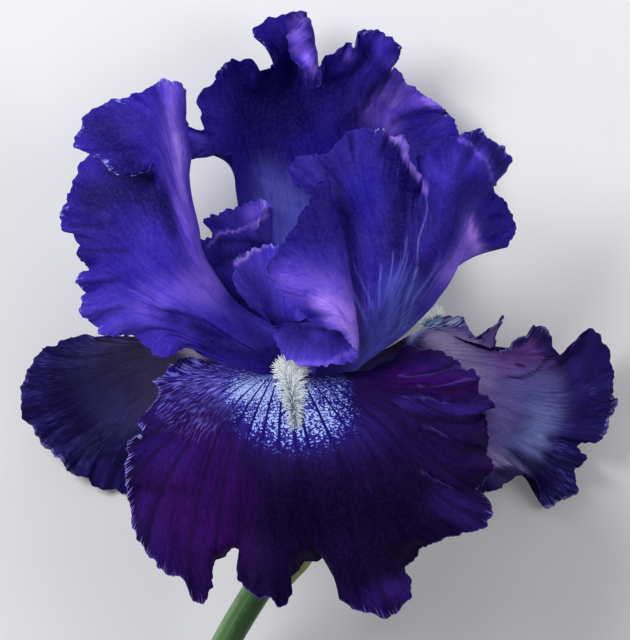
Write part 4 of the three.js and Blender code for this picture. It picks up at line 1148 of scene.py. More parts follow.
def tissue_signals(tree, width, fibre_width, fibre_length):
    """Fibres that run along a piece, spots all over it, and the share of the way across or round it."""
    piece_map = add(tree, "ShaderNodeUVMap", uv_map="petal").outputs["UV"]
    feeds = {"Vector": piece_map, "Scale": (width / fibre_width, DECIMETRE / fibre_length, 1)}
    feeds = {"Vector": add(tree, "ShaderNodeMapping", feeds).outputs[0], "Scale": 1, "Detail": FINE_DETAIL}
    fibres = add(tree, "ShaderNodeTexNoise", feeds).outputs[0]
    place = add(tree, "ShaderNodeTexCoord").outputs["Object"]
    feeds = {"Vector": place, "Scale": 1 / (TISSUE_SPOTS * MM), "Detail": FINE_DETAIL}
    spots = add(tree, "ShaderNodeTexNoise", feeds).outputs[0]
    round_share = add(tree, "ShaderNodeSeparateXYZ", {"Vector": piece_map}).outputs[0]
    return fibres, spots, round_share


def fresh_green(name):
    """Stem and ovary: smooth green under a thin waxy bloom, paler along the ribs, with painted light along
    one flank and painted shade along the next, and pale and moist where the stem is cut."""
    material, tree, shader = new_material(name)
    fibres, spots, round_share = tissue_signals(tree, *STEM_FIBRES)
    flank = weighed(tree, (round_share, 1.0), (spots, 0.12), (fibres, 0.06))
    end = add(tree, "ShaderNodeAttribute", attribute_name="end").outputs["Fac"]
    colour = painted(tree, linear("#41683a"), [
        (fibres, 0.38, 0.62, 0.8, "#5c8250", "MIX"),
        (spots, 0.5, 0.68, 0.7, "#2f4f2c", "MIX"),
        (fibres, 0.6, 0.75, 0.5, "#8aa684", "MIX"),
        # Painted light along one flank and painted shade along the next, then the stem's own green again
        (flank, 0.24, 0.15, 0.5, "#86a684", "MIX"),
        (flank, 0.3, 0.38, 0.8, "#223c22", "MIX"),
        (flank, 0.48, 0.56, 0.8, "#5c8250", "MIX"),
        (end, 0.2, 0.9, 0.9, "#a9bf86", "MIX"),
    ])
    soft_finish(tree, shader, colour, fibres, roughness=0.42, specular=0.4, height=0.08)
    return material


def papery_bract(name):
    """The bracts: dull and papery, green at the veins and dried to pale brown between them."""
    material, tree, shader = new_material(name)
    fibres, spots, _ = tissue_signals(tree, *BRACT_FIBRES)
    from_rim = add(tree, "ShaderNodeAttribute", attribute_name="from_rim").outputs["Fac"]
    dried = weighed(tree, (spots, 6.0), (from_rim, -1.0))
    colour = painted(tree, linear("#6d7a46"), [
        (fibres, 0.4, 0.6, 0.9, "#87825a", "MIX"),
        (fibres, 0.58, 0.7, 0.7, "#55693a", "MIX"),
        (spots, 0.5, 0.68, 0.5, "#93805c", "MIX"),
        (dried, 0.0, 3.5, 0.85, "#a8936c", "MIX"),
    ])
    soft_finish(tree, shader, colour, fibres, roughness=0.72, specular=0.25, height=0.16)
    return material


def stamen_tissue(name):
    """A stamen: a pale violet filament, then a cream anther that is dusty with pollen."""
    material, tree, shader = new_material(name)
    fibres, spots, _ = tissue_signals(tree, *STAMEN_FIBRES)
    along = add(tree, "ShaderNodeAttribute", attribute_name="along").outputs["Fac"]
    colour = painted(tree, linear("#8f80c8"), [
        (fibres, 0.38, 0.62, 0.6, "#b5a8dc", "MIX"),
        (along, ANTHER_START - ANTHER_JOINT, ANTHER_START + ANTHER_JOINT, 1.0, "#d8d2b4", "MIX"),
        (spots, 0.5, 0.68, 0.6, "#b9ae86", "MULTIPLY"),
    ])
    soft_finish(tree, shader, colour, spots, roughness=0.65, specular=0.3, height=0.05)
    return material


def beard_hair(name):
    """Beard hairs: soft, greenish white at their tips, darkening to a painted blue-green shade towards their
    roots.
    """
    material, tree, shader = new_material(name)
    _, spots, _ = tissue_signals(tree, *STAMEN_FIBRES)
    tip = add(tree, "ShaderNodeAttribute", attribute_name="tip").outputs["Fac"]
    colour = painted(tree, linear("#6484a8"), [
        (tip, 0.05, 0.45, 1.0, "#e4edf0", "MIX"),
        (tip, 0.5, 0.9, 0.9, "#f8faf8", "MIX"),
        (spots, 0.58, 0.72, 0.4, "#cfdcd6", "MULTIPLY"),
    ])
    soft_finish(tree, shader, colour, spots, roughness=0.6, specular=0.3, height=0.02)
    return material


# Colours that are brushed on the petals. The deepest blue-violet is painted shade wherever it is brushed on,
# and the lilac and the pink are painted light
TINTS = {
    "ink": "#150c54", "indigo": "#261974", "violet": "#382698", "bright": "#5040b6", "lilac": "#8a68de",
    "pink": "#bc94f6", "cobalt": "#2a219c", "royal": "#302488", "slate": "#5a60c4", "periwinkle": "#7a7ce6",
    "black_plum": "#0e0424", "plum": "#200a40", "magenta": "#380a5a", "purple": "#32186a",
    "blue_violet": "#2c1d6a", "haze": "#6c58b4", "deep_purple": "#1a1048",
    "cream": "#b8a8d8", "pale_cream": "#d6c8dc", "taupe": "#463c60", "mauve": "#8c7ac4", "rose": "#9458b8",
    "grey_blue": "#6c72b8", "amethyst": "#3c2a88", "dusk": "#3a3668", "ice": "#93a1da",
}

# Brush strokes in the order that they are laid down: a tint, a line where the eye sees it, a radius in
# millimetres and a strength
# Left standard: the deepest blue-violet and dark indigo strokes are painted shade under its rolled rim,
# behind and below its folds, in its rim's pleats and at its claw; the brighter blue-violet, lilac and pink
# ones are painted light on its ridge, its lower body and the band above its claw
LEFT_STANDARD_BRUSH = [
    ("ink", [(-49, 60.5), (-42.5, 53.5)], 9, 0.85),
    ("indigo", [(-46, 65), (-38, 63)], 4, 0.6),
    ("ink", [(-52.5, 43), (-42.5, 45), (-35, 43)], 9, 0.95),
    ("ink", [(-47, 50.5), (-42, 48.5), (-38, 49.5)], 2.6, 0.8),
    ("indigo", [(-55, 31.75), (-43.75, 35)], 8.5, 0.6),
    ("bright", [(-47, 13.5), (-37.5, 16.5), (-25, 19)], 10, 0.8),
    ("lilac", [(-37.5, 18), (-28.75, 21.75), (-23.75, 20.5)], 6.5, 0.6),
    ("bright", [(-40, 27.5), (-33.75, 30.5)], 8.5, 0.4),
    ("lilac", [(-32, 71), (-33, 63), (-31.5, 55.5), (-29.75, 45.5), (-28, 36.75), (-25, 27.5), (-21, 20.5)],
     4.25, 0.95),
    ("pink", [(-32, 59.25), (-30.5, 51.75), (-29.25, 43)], 2.25, 0.8),
    ("ink", [(-41, 52), (-36.5, 45.5), (-33.5, 40), (-32, 35)], 2.8, 0.8),
    ("violet", [(-35.5, 69.25), (-36.25, 63)], 4, 0.6),
    ("ink", [(-57, 36.5), (-47, 37.5)], 1.5, 0.7),
    ("ink", [(-55, 29.5), (-43.5, 30.5)], 1.5, 0.7),
    ("ink", [(-53, 22), (-45, 23.25)], 1.25, 0.5),
    ("ink", [(-50.5, 15), (-44.5, 16.75)], 1.25, 0.4),
    ("violet", [(-32.5, 8.5), (-28.75, 12.5)], 4.5, 0.7),
    ("ink", [(-32.25, 14.5), (-30.25, 13)], 2, 0.7),
    ("bright", [(-27, 11), (-29.5, 6.5)], 2.5, 0.6),
    ("ink", [(-26.5, 11.5), (-19.5, 7.5)], 2.8, 0.95),
    ("ink", [(-24, 6.5), (-15, 5.5)], 2.2, 0.7),
    ("indigo", [(-21, 6), (-9.5, 4)], 4, 0.8),
    ("bright", [(-21.5, 17), (-15, 13.75), (-7.5, 10.25)], 3.25, 0.8),
    ("bright", [(-15, 7.25), (-7.5, 7.75)], 2, 0.6),
]
# Right standard: the deepest blue-violet and dark indigo strokes are painted shade in its dark middle, under
# its flap's upper part, along its folds, inside its curled top lobes, in its rim's pleats and beside its pale
# main vein; the clear blue patch right of the flap's top is a painted sheen, and the brighter blue-violet,
# lilac and pink strokes are painted light on the flap's lower part, its rear lobes and its rims
RIGHT_STANDARD_BRUSH = [
    ("ink", [(24.5, 55.5), (26.25, 43), (24.5, 31.75)], 7.5, 0.9),
    ("ink", [(31, 41.75), (33, 35)], 4.5, 0.6),
    ("cobalt", [(15.5, 48.5), (16.5, 39)], 6, 0.7),
    ("indigo", [(7.5, 53), (9.5, 35.5)], 4.5, 0.5),
    ("indigo", [(3.25, 45), (5.5, 35)], 6.5, 0.6),
    ("bright", [(-1, 27.5), (7.5, 26)], 7, 0.6),
    ("lilac", [(-3, 23), (7, 20.5), (11.25, 15)], 7, 0.8),
    ("pink", [(5.5, 17.5), (11.25, 13), (13, 7.5)], 4.25, 0.75),
    ("slate", [(18, 5), (22, 10.5), (25.5, 20)], 8, 0.85),
    ("ink", [(15.5, 6), (13, 28), (9.5, 46)], 2.6, 0.8),
    ("slate", [(14.5, 0.5), (21.25, 2.5)], 5, 0.9),
    ("violet", [(17, 20), (16.25, 30.5)], 5, 0.5),
    ("violet", [(32.5, 27.5), (35.5, 33)], 5, 0.7),
    ("bright", [(34.5, 22), (32.75, 17.5)], 3, 0.6),
    ("indigo", [(22, 5.5), (25.5, 12.5), (28, 18)], 0.62, 0.6),
    ("bright", [(33, 51), (38, 47)], 4, 0.7),
    ("pink", [(24.25, 58.25), (27, 56.25)], 2, 0.7),
    ("pink", [(27.75, 54), (29.75, 49.5), (31.5, 46.25)], 2, 0.8),
    ("bright", [(39.5, 52.5), (47, 55)], 7, 0.55),
    ("ink", [(46, 58.5), (48, 54)], 1.75, 0.5),
    ("lilac", [(40.5, 36), (42.5, 31.5), (37.5, 25)], 6, 0.85),
    ("pink", [(41.75, 37.5), (43.25, 32)], 2.25, 0.8),
    ("violet", [(47.5, 43), (50.5, 35)], 5.5, 0.6),
    ("indigo", [(30.5, 26.5), (34.5, 33), (38, 39.5), (42.5, 47)], 3.4, 0.95),
    ("ink", [(44.5, 58.5), (48.5, 55), (50, 51.5)], 2.6, 0.75),
    ("lilac", [(40, 58.5), (43, 56.5), (46, 53), (47, 50)], 0.8, 0.6),
    ("ink", [(49.25, 43), (45, 44)], 1.0, 0.6),
    ("ink", [(52.5, 39), (48, 38)], 1.0, 0.5),
    ("ink", [(53, 34.5), (48, 33.5)], 1.0, 0.5),
    ("indigo", [(-0.5, 50.5), (3, 46.5)], 3.75, 0.7),
    ("ink", [(23, 9.5), (25, 15.5), (26.4, 20.5), (28.2, 30.75), (29, 37), (29.8, 44)], 0.6, 0.55),
    ("ice", [(24, 9.75), (26.2, 15.5), (27.7, 20.5), (28.8, 26)], 0.34, 0.5),
    ("ice", [(28.6, 25), (29.5, 30.75), (30.4, 37)], 0.3, 0.35),
    ("periwinkle", [(30.3, 36), (31, 41), (31.3, 45)], 0.35, 0.4),
    ("periwinkle", [(24.2, 23), (23.3, 20.5), (21.9, 13.25), (21.2, 7.5)], 1.2, 0.35),
    ("periwinkle", [(26.8, 33.5), (26.2, 30), (24.8, 25.5), (23.9, 22.5)], 0.6, 0.3),
    ("periwinkle", [(34.2, 27.75), (31.3, 22.75), (28.4, 17.5), (25.5, 11)], 0.5, 0.6),
    ("periwinkle", [(20.8, 25.5), (20, 20.5), (19.4, 16.25)], 0.5, 0.5),
    ("periwinkle", [(14, 25.5), (16.8, 19.75), (19, 13.25)], 0.45, 0.45),
    ("periwinkle", [(12, 22), (15.5, 15), (18.5, 8)], 0.45, 0.4),
]
# Back standard: the deepest blue-violet and dark indigo strokes are painted shade in its hollow middle, along
# its long fold and in its rim's pleats; the lilac, pink and brighter blue-violet ones are painted light on
# the strip near its top and on its rear right part
BACK_STANDARD_BRUSH = [
    ("ink", [(-8, 70.5), (0, 63.5), (8, 68.5)], 11.5, 0.85),
    ("violet", [(-22, 70), (-22, 61.75), (-18.5, 57.5)], 6.5, 0.6),
    ("ink", [(-15.5, 66.5), (-13, 62.75), (-10.25, 60.5)], 2.25, 0.7),
    ("violet", [(-9, 85), (-4.75, 86.25)], 6, 0.8),
    ("lilac", [(-0.75, 87.5), (0, 81.75), (3.25, 75.75)], 3.5, 0.65),
    ("pink", [(1.5, 78), (3.25, 76)], 1.75, 0.6),
    ("violet", [(11, 77.5), (17.5, 80.5), (22.5, 79)], 7, 0.7),
    ("lilac", [(10.25, 80.5), (13, 78.5)], 2.25, 0.5),
    ("bright", [(21, 81.75), (23, 77.5)], 3.75, 0.5),
    ("lilac", [(19, 67.5), (24.5, 72), (22, 65)], 8.5, 0.85),
    ("lilac", [(28, 70), (34.5, 65.5)], 4.5, 0.6),
    ("pink", [(19.75, 71.5), (22.75, 68)], 3.5, 0.5),
    ("violet", [(28, 63), (36.5, 60.5)], 5.5, 0.7),
    ("indigo", [(5.5, 64.5), (11.5, 70.5), (17.5, 79)], 4.6, 0.95),
    ("indigo", [(8, 62.5), (14, 68.5), (20.5, 77)], 3.2, 0.95),
    ("ink", [(9.5, 61.5), (15.25, 67.25), (21, 75.5)], 1.5, 0.8),
    ("ink", [(23.5, 62.25), (32.5, 66.75)], 1.5, 0.7),
    ("ink", [(26, 59.5), (37.5, 64.75)], 1.25, 0.5),
    ("pink", [(31, 68.25), (35.25, 66)], 1.5, 0.6),
    ("periwinkle", [(-8.5, 45.5), (-2.5, 39.5), (-4, 32)], 10.5, 0.9),
    ("violet", [(-15.5, 52.5), (-14, 45)], 5, 0.7),
    ("ink", [(-11.5, 47), (-9.5, 44)], 2, 0.4),
    ("cobalt", [(-1, 55), (8, 58)], 7.5, 0.5),
    ("bright", [(-27.25, 60), (-25.25, 58)], 3, 0.7),
    ("indigo", [(-23.75, 55.25), (-17.75, 56)], 3, 0.5),
]
# Style arms: the deepest blue-violet and dark indigo strokes are painted shade inside their crests and on the
# dome under the front arm; the lilac and pink ones are painted light on the crests and along their rims
STYLE_BRUSH = [
    ("indigo", [(-19.5, 30.5), (-13.75, 27.5)], 4, 0.6),
    ("lilac", [(-13.5, 39.5), (-8, 41.5)], 2.5, 0.7),
    ("indigo", [(-2.5, 8.5), (7.5, 6)], 4.5, 0.6),
    ("lilac", [(-3.5, 2.75), (8, 2), (13.25, 5.5)], 1.2, 0.65),
    ("bright", [(-14, 27.5), (-11, 18)], 3.5, 0.5),
    ("ink", [(-20.5, 21.5), (-10, 14)], 4.5, 0.85),
    ("indigo", [(-13, 24), (-8.5, 18)], 4, 0.7),
    ("indigo", [(-21, 27), (-13, 31)], 3.2, 0.8),
    ("pink", [(-16.5, 27), (-12.5, 30), (-6.5, 31.3)], 0.9, 0.5),
    ("ink", [(-20, 33), (-14, 33.5), (-10, 32)], 2.4, 0.8),
    ("indigo", [(-14, 24), (-8, 15), (-3, 9)], 5.5, 0.75),
    ("ink", [(-7, 13), (1, 9.5)], 2.2, 0.7),
    ("indigo", [(-3, 12), (1, 9.5)], 4, 0.75),
    ("ink", [(-1, 11.5), (6, 10.5)], 1.6, 0.7),
    ("pink", [(-23, 31.5), (-20, 35), (-14.25, 36.5), (-7.75, 39.25)], 0.6, 0.7),
]

# Amounts that are brushed on in the same way, without a tint: painted highlights flecked along a standard's
# thin rim
LEFT_STANDARD_RIM_GLINTS = [
    ([(-54.5, 61.25), (-55.5, 56.75)], 3, 0.8),
    ([(-51.75, 55.75), (-49.25, 52.25), (-44.75, 49), (-41.25, 50), (-37.75, 51.25)], 1.4, 0.9),
    ([(-47.5, 67.75), (-44, 68.25)], 2, 1.0),
    ([(-34.25, 72.25), (-31, 72)], 2, 0.8),
    ([(-29.75, 72), (-29.5, 70.5)], 1.3, 1.0),
    ([(-58.5, 41.75), (-59.25, 38.25)], 2.4, 0.7),
    ([(-55.75, 24), (-55.75, 22)], 2.5, 0.8),
    ([(-54.25, 18.5), (-53, 15.5)], 2.25, 0.8),
    ([(-50, 11), (-47, 9.5)], 2, 0.7),
]
RIGHT_STANDARD_RIM_GLINTS = [
    ([(20.5, 60.5), (22, 60)], 2, 1.0),
    ([(32.75, 52.25), (33.75, 45)], 3.5, 0.85),
    ([(41.25, 59.5), (45.5, 60.25)], 2, 0.8),
    ([(49.5, 58.25), (52, 55.5), (52.5, 52.75)], 2.4, 0.9),
    ([(1, 50.25), (2.5, 52.5)], 1.6, 1.0),
    ([(-2.25, 50.25), (-3.25, 48.5)], 1.2, 0.6),
]
BACK_STANDARD_RIM_GLINTS = [
    ([(-19.5, 76.25), (-18.25, 74.25)], 1.8, 0.8),
    ([(-10.75, 84), (-9.5, 81.5)], 1.5, 0.6),
    ([(24.75, 82.25), (24.25, 79)], 1.6, 0.9),
    ([(15.25, 84.75), (19.25, 83.75)], 1.6, 0.8),
    ([(26, 71), (27, 71)], 1.5, 1.0),
    ([(36.75, 65.25), (35, 64)], 1.6, 0.9),
]
STYLE_RIM_GLINTS = [
    ([(-8, 41.5), (-9, 34)], 1.3, 0.8),
    ([(12.5, 4.5), (13.5, 6.75)], 1.3, 0.8),
    ([(-16.5, 28), (-9.5, 31.5), (-3.5, 31)], 1.2, 0.7),
]

# Standards that are lined with paler veins
LEFT_STANDARD_LINED = [
    ([(-21.5, 17), (-15, 13.75), (-7.5, 10.25)], 3, 0.35),
    ([(-22, 7), (-10, 7)], 3, 0.35),
]
RIGHT_STANDARD_LINED = [
    ([(22.5, 8), (23.5, 18), (24.5, 27)], 4.5, 0.4),
    ([(19.5, 9), (17, 20)], 4, 0.3),
    ([(26, 8), (31, 18), (35, 26)], 3.2, 0.4),
]
BACK_STANDARD_LINED = [([(-8, 32), (-2, 45)], 8, 0.15)]

# Strokes on the falls. What the eye sees of the left and the right one is their under face
# Front fall: the broad magenta strokes on its left are painted light, where its velvet glows purple in the
# light, and the thin nearly black ones are painted shade in the creases on its left and between the pleats on
# its right
FRONT_FALL_BRUSH = [
    ("indigo", [(-35, 0), (-25, -2), (-16, -6)], 10, 0.8),
    ("purple", [(-28.75, -5.75), (-33.75, -9.5)], 8.5, 0.7),
    ("blue_violet", [(-17.5, -15), (0, -18.5), (16.25, -15)], 10, 0.75),
    ("magenta", [(-25, -20.75), (-28, -35.75), (-23, -45)], 15.5, 0.95),
    ("purple", [(-38.5, -19), (-27, -21)], 7.5, 0.8),
    ("purple", [(-38, -33.25), (-34.5, -46)], 6, 0.6),
    ("black_plum", [(-2, -35.75), (25, -35.75), (18, -47)], 21, 0.9),
    ("black_plum", [(-13, -52), (0, -55)], 10, 0.6),
    ("magenta", [(-24, -16), (-20, -24), (-15, -30)], 9, 0.75),
    ("plum", [(32.5, -19), (40.5, -24.5)], 10, 0.7),
    ("purple", [(29.5, 0.5), (43, -0.5)], 5, 0.7),
    ("blue_violet", [(27, -8.75), (45.5, -10)], 3.25, 0.9),
    ("blue_violet", [(35, -31.5), (46, -37.5)], 5.5, 0.7),
    ("purple", [(18, -57.5), (25.5, -54)], 5.5, 0.8),
    ("plum", [(-25.5, -47), (-26, -54.5)], 6.5, 0.7),
    ("plum", [(-7.5, -56)], 5, 0.6),
    ("black_plum", [(-41, -29.25), (-26, -29.75)], 1.25, 0.6),
    ("black_plum", [(27.5, -6), (43.5, -4)], 1.5, 0.3),
    ("magenta", [(24, -1), (40, -3.5)], 4.5, 0.8),
    ("black_plum", [(30, -13), (46.5, -12.5)], 1.75, 0.6),
    # Thin lines of painted highlight along the crests of the pleats on the right
    ("haze", [(25.75, -1.5), (32.5, -0.5), (40.25, 1.5)], 0.35, 0.6),
    ("haze", [(30, -4.5), (37, -3), (44.5, -1.25)], 0.35, 0.5),
    ("haze", [(28, -7.75), (36.5, -7.5)], 0.35, 0.4),
    ("haze", [(31.5, -14.5), (37.5, -17.25)], 0.35, 0.35),
    ("haze", [(28, -23.5), (37.5, -28.5)], 0.35, 0.3),
]
# Left fall: the pale cream patch at its haft is its own cream, painted paler for light that comes through it;
# the nearly black stroke beside it is painted shade between the standard and the front fall, and the two thin
# dark purple streaks on its outer part are painted shadows
LEFT_FALL_BRUSH = [
    ("deep_purple", [(-63, -7), (-59.5, -15)], 11, 0.6),
    ("dusk", [(-52, 4), (-49, -5), (-43, -10)], 10, 0.85),
    ("taupe", [(-45.5, 4), (-37.5, 1), (-37, -6.5)], 11.5, 0.95),
    ("dusk", [(-47, -12), (-36, -14)], 8, 0.7),
    ("taupe", [(-35.5, 5.5), (-28.5, 5)], 8.5, 0.9),
    ("pale_cream", [(-29.5, 7.5), (-24.5, 4)], 3.6, 0.95),
    ("black_plum", [(-20.5, 5), (-10, 0)], 4, 1.0),
    ("dusk", [(-54, -18.5), (-57, -21.5)], 4.5, 0.5),
    ("deep_purple", [(-59.5, -19), (-51, -13)], 1.5, 0.7),
    ("deep_purple", [(-52.5, -26), (-45, -20.5)], 1.5, 0.6),
]
# Right fall: the nearly black stroke at its haft is painted shade in the throat, and the thin dark purple and
# nearly black lines along its zigzag rim are painted shade in the rim's folds
RIGHT_FALL_BRUSH = [
    ("mauve", [(42, 5.5), (50, 0.5), (55.5, -5)], 14, 0.95),
    ("rose", [(54.5, 9.5), (61.5, 6.5), (50, 5)], 8.5, 0.65),
    ("mauve", [(50, -7.5), (48.5, -17.5)], 7, 0.7),
    ("cream", [(37, 7), (42, 4), (45, -1.5)], 7.5, 0.95),
    ("grey_blue", [(59.5, -6.5), (61.5, -14.5), (55.5, -18.5)], 10.5, 0.9),
    ("ice", [(61.5, -13), (57, -17.5)], 6.5, 0.7),
    ("amethyst", [(72, 3), (73.5, -12), (68.5, -18.5)], 8.5, 0.9),
    ("amethyst", [(65, -25), (63.5, -31.5)], 7, 0.95),
    ("cream", [(48.5, -23), (53, -26.5)], 6, 0.8),
    ("deep_purple", [(53.5, -20), (60, -23.5)], 2.75, 0.7),
    ("cream", [(33, 8.5), (38, 7.5), (42, 5.5)], 2.6, 0.9),
    ("black_plum", [(17, 5), (25, 8)], 2.6, 1.0),
    ("deep_purple", [(48.5, 7), (52.5, 6), (56.25, 8), (58.5, 10.5)], 1.1, 0.7),
    ("black_plum", [(60.5, 9.5), (63.75, 5.5), (65.6, 2), (69.4, 6.75)], 1.3, 0.85),
    ("amethyst", [(43, 10.5), (45.5, 8.5)], 1.6, 0.8),
    ("deep_purple", [(53.75, 2.25), (55.5, 1.75)], 0.75, 0.9),
    ("deep_purple", [(51.75, -1.25), (55, -1.5), (58.25, 0), (60.25, 1.75), (62, 3.75)], 0.75, 0.8),
    ("deep_purple", [(62.75, 1), (65.75, 2.25)], 0.6, 0.6),
]

# Falls: where they are netted with blue-white, streaked, and combed with short stripes along the rim
FRONT_FALL_NETTED = [
    ([(-14, -4.5), (0, -5)], 8, 1.0),
    ([(0, -5), (9, -4)], 6.5, 0.6),
    ([(-9, -11), (0, -13.5), (6, -11)], 10.5, 0.75),
]
FRONT_FALL_STREAKED = [
    ([(-33, 1.5), (-25, -2), (-18.5, -5)], 10.5, 1.0),
    ([(-33.75, -7.5), (-25, -12.5)], 8, 0.6),
]
FRONT_FALL_COMBED = [
    ([(-36, -2.5), (-40.25, -16), (-43.25, -21), (-42.5, -34.5)], 5.5, 0.95),
    ([(-42.5, -34.5), (-38.5, -45), (-33.5, -51)], 4.5, 0.6),
    ([(-33.5, -51), (-25, -57.5)], 3.5, 0.35),
    ([(11.25, -58), (27.5, -61.5)], 3, 0.3),
    ([(42.5, -27), (48.25, -38.25)], 3.5, 0.45),
]
LEFT_FALL_STREAKED = [
    ([(-67.5, -3.25), (-60, 5.5), (-50, 7.5)], 11, 0.45),
    ([(-62, -14), (-57.5, -22), (-47.5, -17), (-42.5, -12)], 9.5, 0.4),
]
LEFT_FALL_COMBED = [
    ([(-66, -14.5), (-58.5, -23.5)], 3.5, 0.5),
    ([(-69, -5.75), (-67.5, 0)], 2.5, 0.3),
]
RIGHT_FALL_STREAKED = [
    ([(64, -18.5), (66.5, -27), (64, -32)], 7, 0.8),
    ([(72.5, -2), (75, -12)], 6, 0.3),
]
RIGHT_FALL_NETTED = [([(28, 9), (33, 11.5), (39, 12.8)], 2.8, 1.0)]
RIGHT_FALL_COMBED = [
    ([(50, 5.5), (55, 7.5), (61.25, 10.5)], 2.5, 0.8),
    ([(41.25, 13), (45, 9.25), (50, 13)], 2, 0.8),
    ([(75, -7), (78.5, -8.25), (75, -14.5)], 3.5, 0.6),
    ([(68.75, -30.75), (62.5, -33.75)], 3, 0.7),
]

# Strokes on what the eye doesn't see, at a petal's own places: the share across it and of its length
UNSEEN_FALL_BRUSH = [
    ("magenta", [(0.25, 0.75), (0.3, 0.9)], 0.22, 0.7),
    ("black_plum", [(0.55, 0.75), (0.7, 0.85)], 0.3, 0.8),
    ("blue_violet", [(0.4, 0.55), (0.6, 0.55)], 0.16, 0.7),
]
UNSEEN_NETTED = [([(0.36, 0.42), (0.64, 0.42)], 0.2, 1.0)]
UNSEEN_UNDERSIDE_BRUSH = [
    ("mauve", [(0.35, 0.5), (0.65, 0.5)], 0.34, 0.95),
    ("grey_blue", [(0.45, 0.7), (0.6, 0.7)], 0.2, 0.7),
    ("cream", [(0.4, 0.15), (0.6, 0.15)], 0.3, 0.9),
]

# Folds that stand out of the front fall: a line, a radius and a height in millimetres
FRONT_FALL_CREASES = [
    ([(-41, -16), (-34, -17), (-26, -20)], 2.6, 0.5),
    ([(-42, -27), (-34, -28)], 2.4, -0.5),
    ([(27, -5), (37, -4), (46, -4)], 2.2, -0.4),
]
# Folds that stand up steeply at a line and slope away on its left: the line, how far they slope, and
# their height
FRONT_FALL_FOLDS = [
    ([(22, -2), (32.5, -0.5), (44, 2)], 3.5, 0.9),
    ([(25, -5.5), (37, -3), (49, -1)], 2.6, 0.7),
    ([(22, -8), (36.5, -7.5), (52, -9)], 3.5, 0.8),
    ([(25, -12), (37.5, -17), (50, -20)], 4.0, 0.8),
    ([(22, -20), (37.5, -28.5), (48, -33)], 4.5, 0.8),
]
LEFT_STANDARD_FOLDS = [
    ([(-38, 60), (-35, 51.75), (-30.5, 39.25), (-26, 27)], 6, 1.2),
    ([(-39, 17), (-29.25, 14.5), (-23.25, 12.5), (-16.25, 7.75), (-11, 4)], 6, 1.3),
]
RIGHT_STANDARD_FOLDS = [
    ([(15.5, -2), (14.25, 5.5), (11.25, 28), (7, 46.75), (6.5, 54)], 8, 1.3),
    ([(32, 22), (36.5, 28), (40, 35), (43, 41), (46.75, 46.5), (52, 54)], 8, 1.6),
    ([(48.5, 46), (47.5, 50), (45, 55.5), (42.5, 57.25), (38, 60)], 5, 1.0),
]
BACK_STANDARD_FOLDS = [
    ([(4, 54), (10.25, 61), (16.25, 66.75), (22.75, 75.5), (29, 83)], 9, 1.6),
]

# The second colour is that of the painted highlights along the crimped rims
standard_look = satin_petal("satin_blue_violet_petal", "#9fadf0")
style_look = satin_petal("satin_style_tissue", "#a4b0f0")
fall_look = velvet_fall("velvet_black_violet_petal")
underside_look = fall_underside("dull_petal_underside")
stem_look = fresh_green("fresh_green_stem")
bract_look = papery_bract("papery_bract")
stamen_look = stamen_tissue("stamen_tissue")
beard_look = beard_hair("beard_hair")
standard_looks = [standard_look, standard_look]
style_looks = [style_look, style_look]
fall_looks = [underside_look, fall_look]
bract_looks = [bract_look, bract_look]

# What is painted on the front fall. True stands for strokes at the petal's own places
FRONT_FALL_PAINT = {
    "tint": ("plum", FRONT_FALL_BRUSH, False),
    "under_tint": ("deep_purple", UNSEEN_UNDERSIDE_BRUSH, True),
    "netted": (FRONT_FALL_NETTED, False),
    "streaked": (FRONT_FALL_STREAKED, False),
    "comb_and_rim_glint": (FRONT_FALL_COMBED, False),
    "creases": FRONT_FALL_CREASES,
    "folds": FRONT_FALL_FOLDS,
}


def side_fall_paint(strokes, netted, streaked, comb_and_rim_glint, feathering):
    """What is painted on a fall of which the eye sees the under face."""
    return {
        "tint": ("plum", UNSEEN_FALL_BRUSH, True),
        "under_tint": ("deep_purple", strokes, False),
        "netted": (UNSEEN_NETTED, True),
        "under_netted": (netted, False),
        "streaked": (streaked, False),
        "comb_and_rim_glint": (comb_and_rim_glint, False),
        "feathering": feathering,
    }


def satin_paint(ground, strokes, rim_glints, lined, folds, feathering):
    """What is painted on a standard or a style arm, on both faces alike."""
    return {
        "tint": (ground, strokes, False),
        "comb_and_rim_glint": (rim_glints, False),
        "streaked": (lined, False),
        "folds": folds,
        "feathering": feathering,
    }


for name, node, rings, columns, seed, turn, paint in [
    ("FallFront", "fall_front", FRONT_FALL, 600, 1.0, 1, FRONT_FALL_PAINT),
    ("FallLeft", "fall_left", LEFT_FALL, 360, 2.0, -1,
     side_fall_paint(LEFT_FALL_BRUSH, [], LEFT_FALL_STREAKED, LEFT_FALL_COMBED, 0.7)),
    ("FallRight", "fall_right", RIGHT_FALL, 460, 3.0, 1,
     side_fall_paint(RIGHT_FALL_BRUSH, RIGHT_FALL_NETTED, RIGHT_FALL_STREAKED, RIGHT_FALL_COMBED, 0.45)),
]:
    petal(name, node, "fall_petal", drawn_rings(rings), FALL_ROWS, columns, FALL_RUFFLES, RIM_TEETH, seed,
          turn, fall_looks, paint)

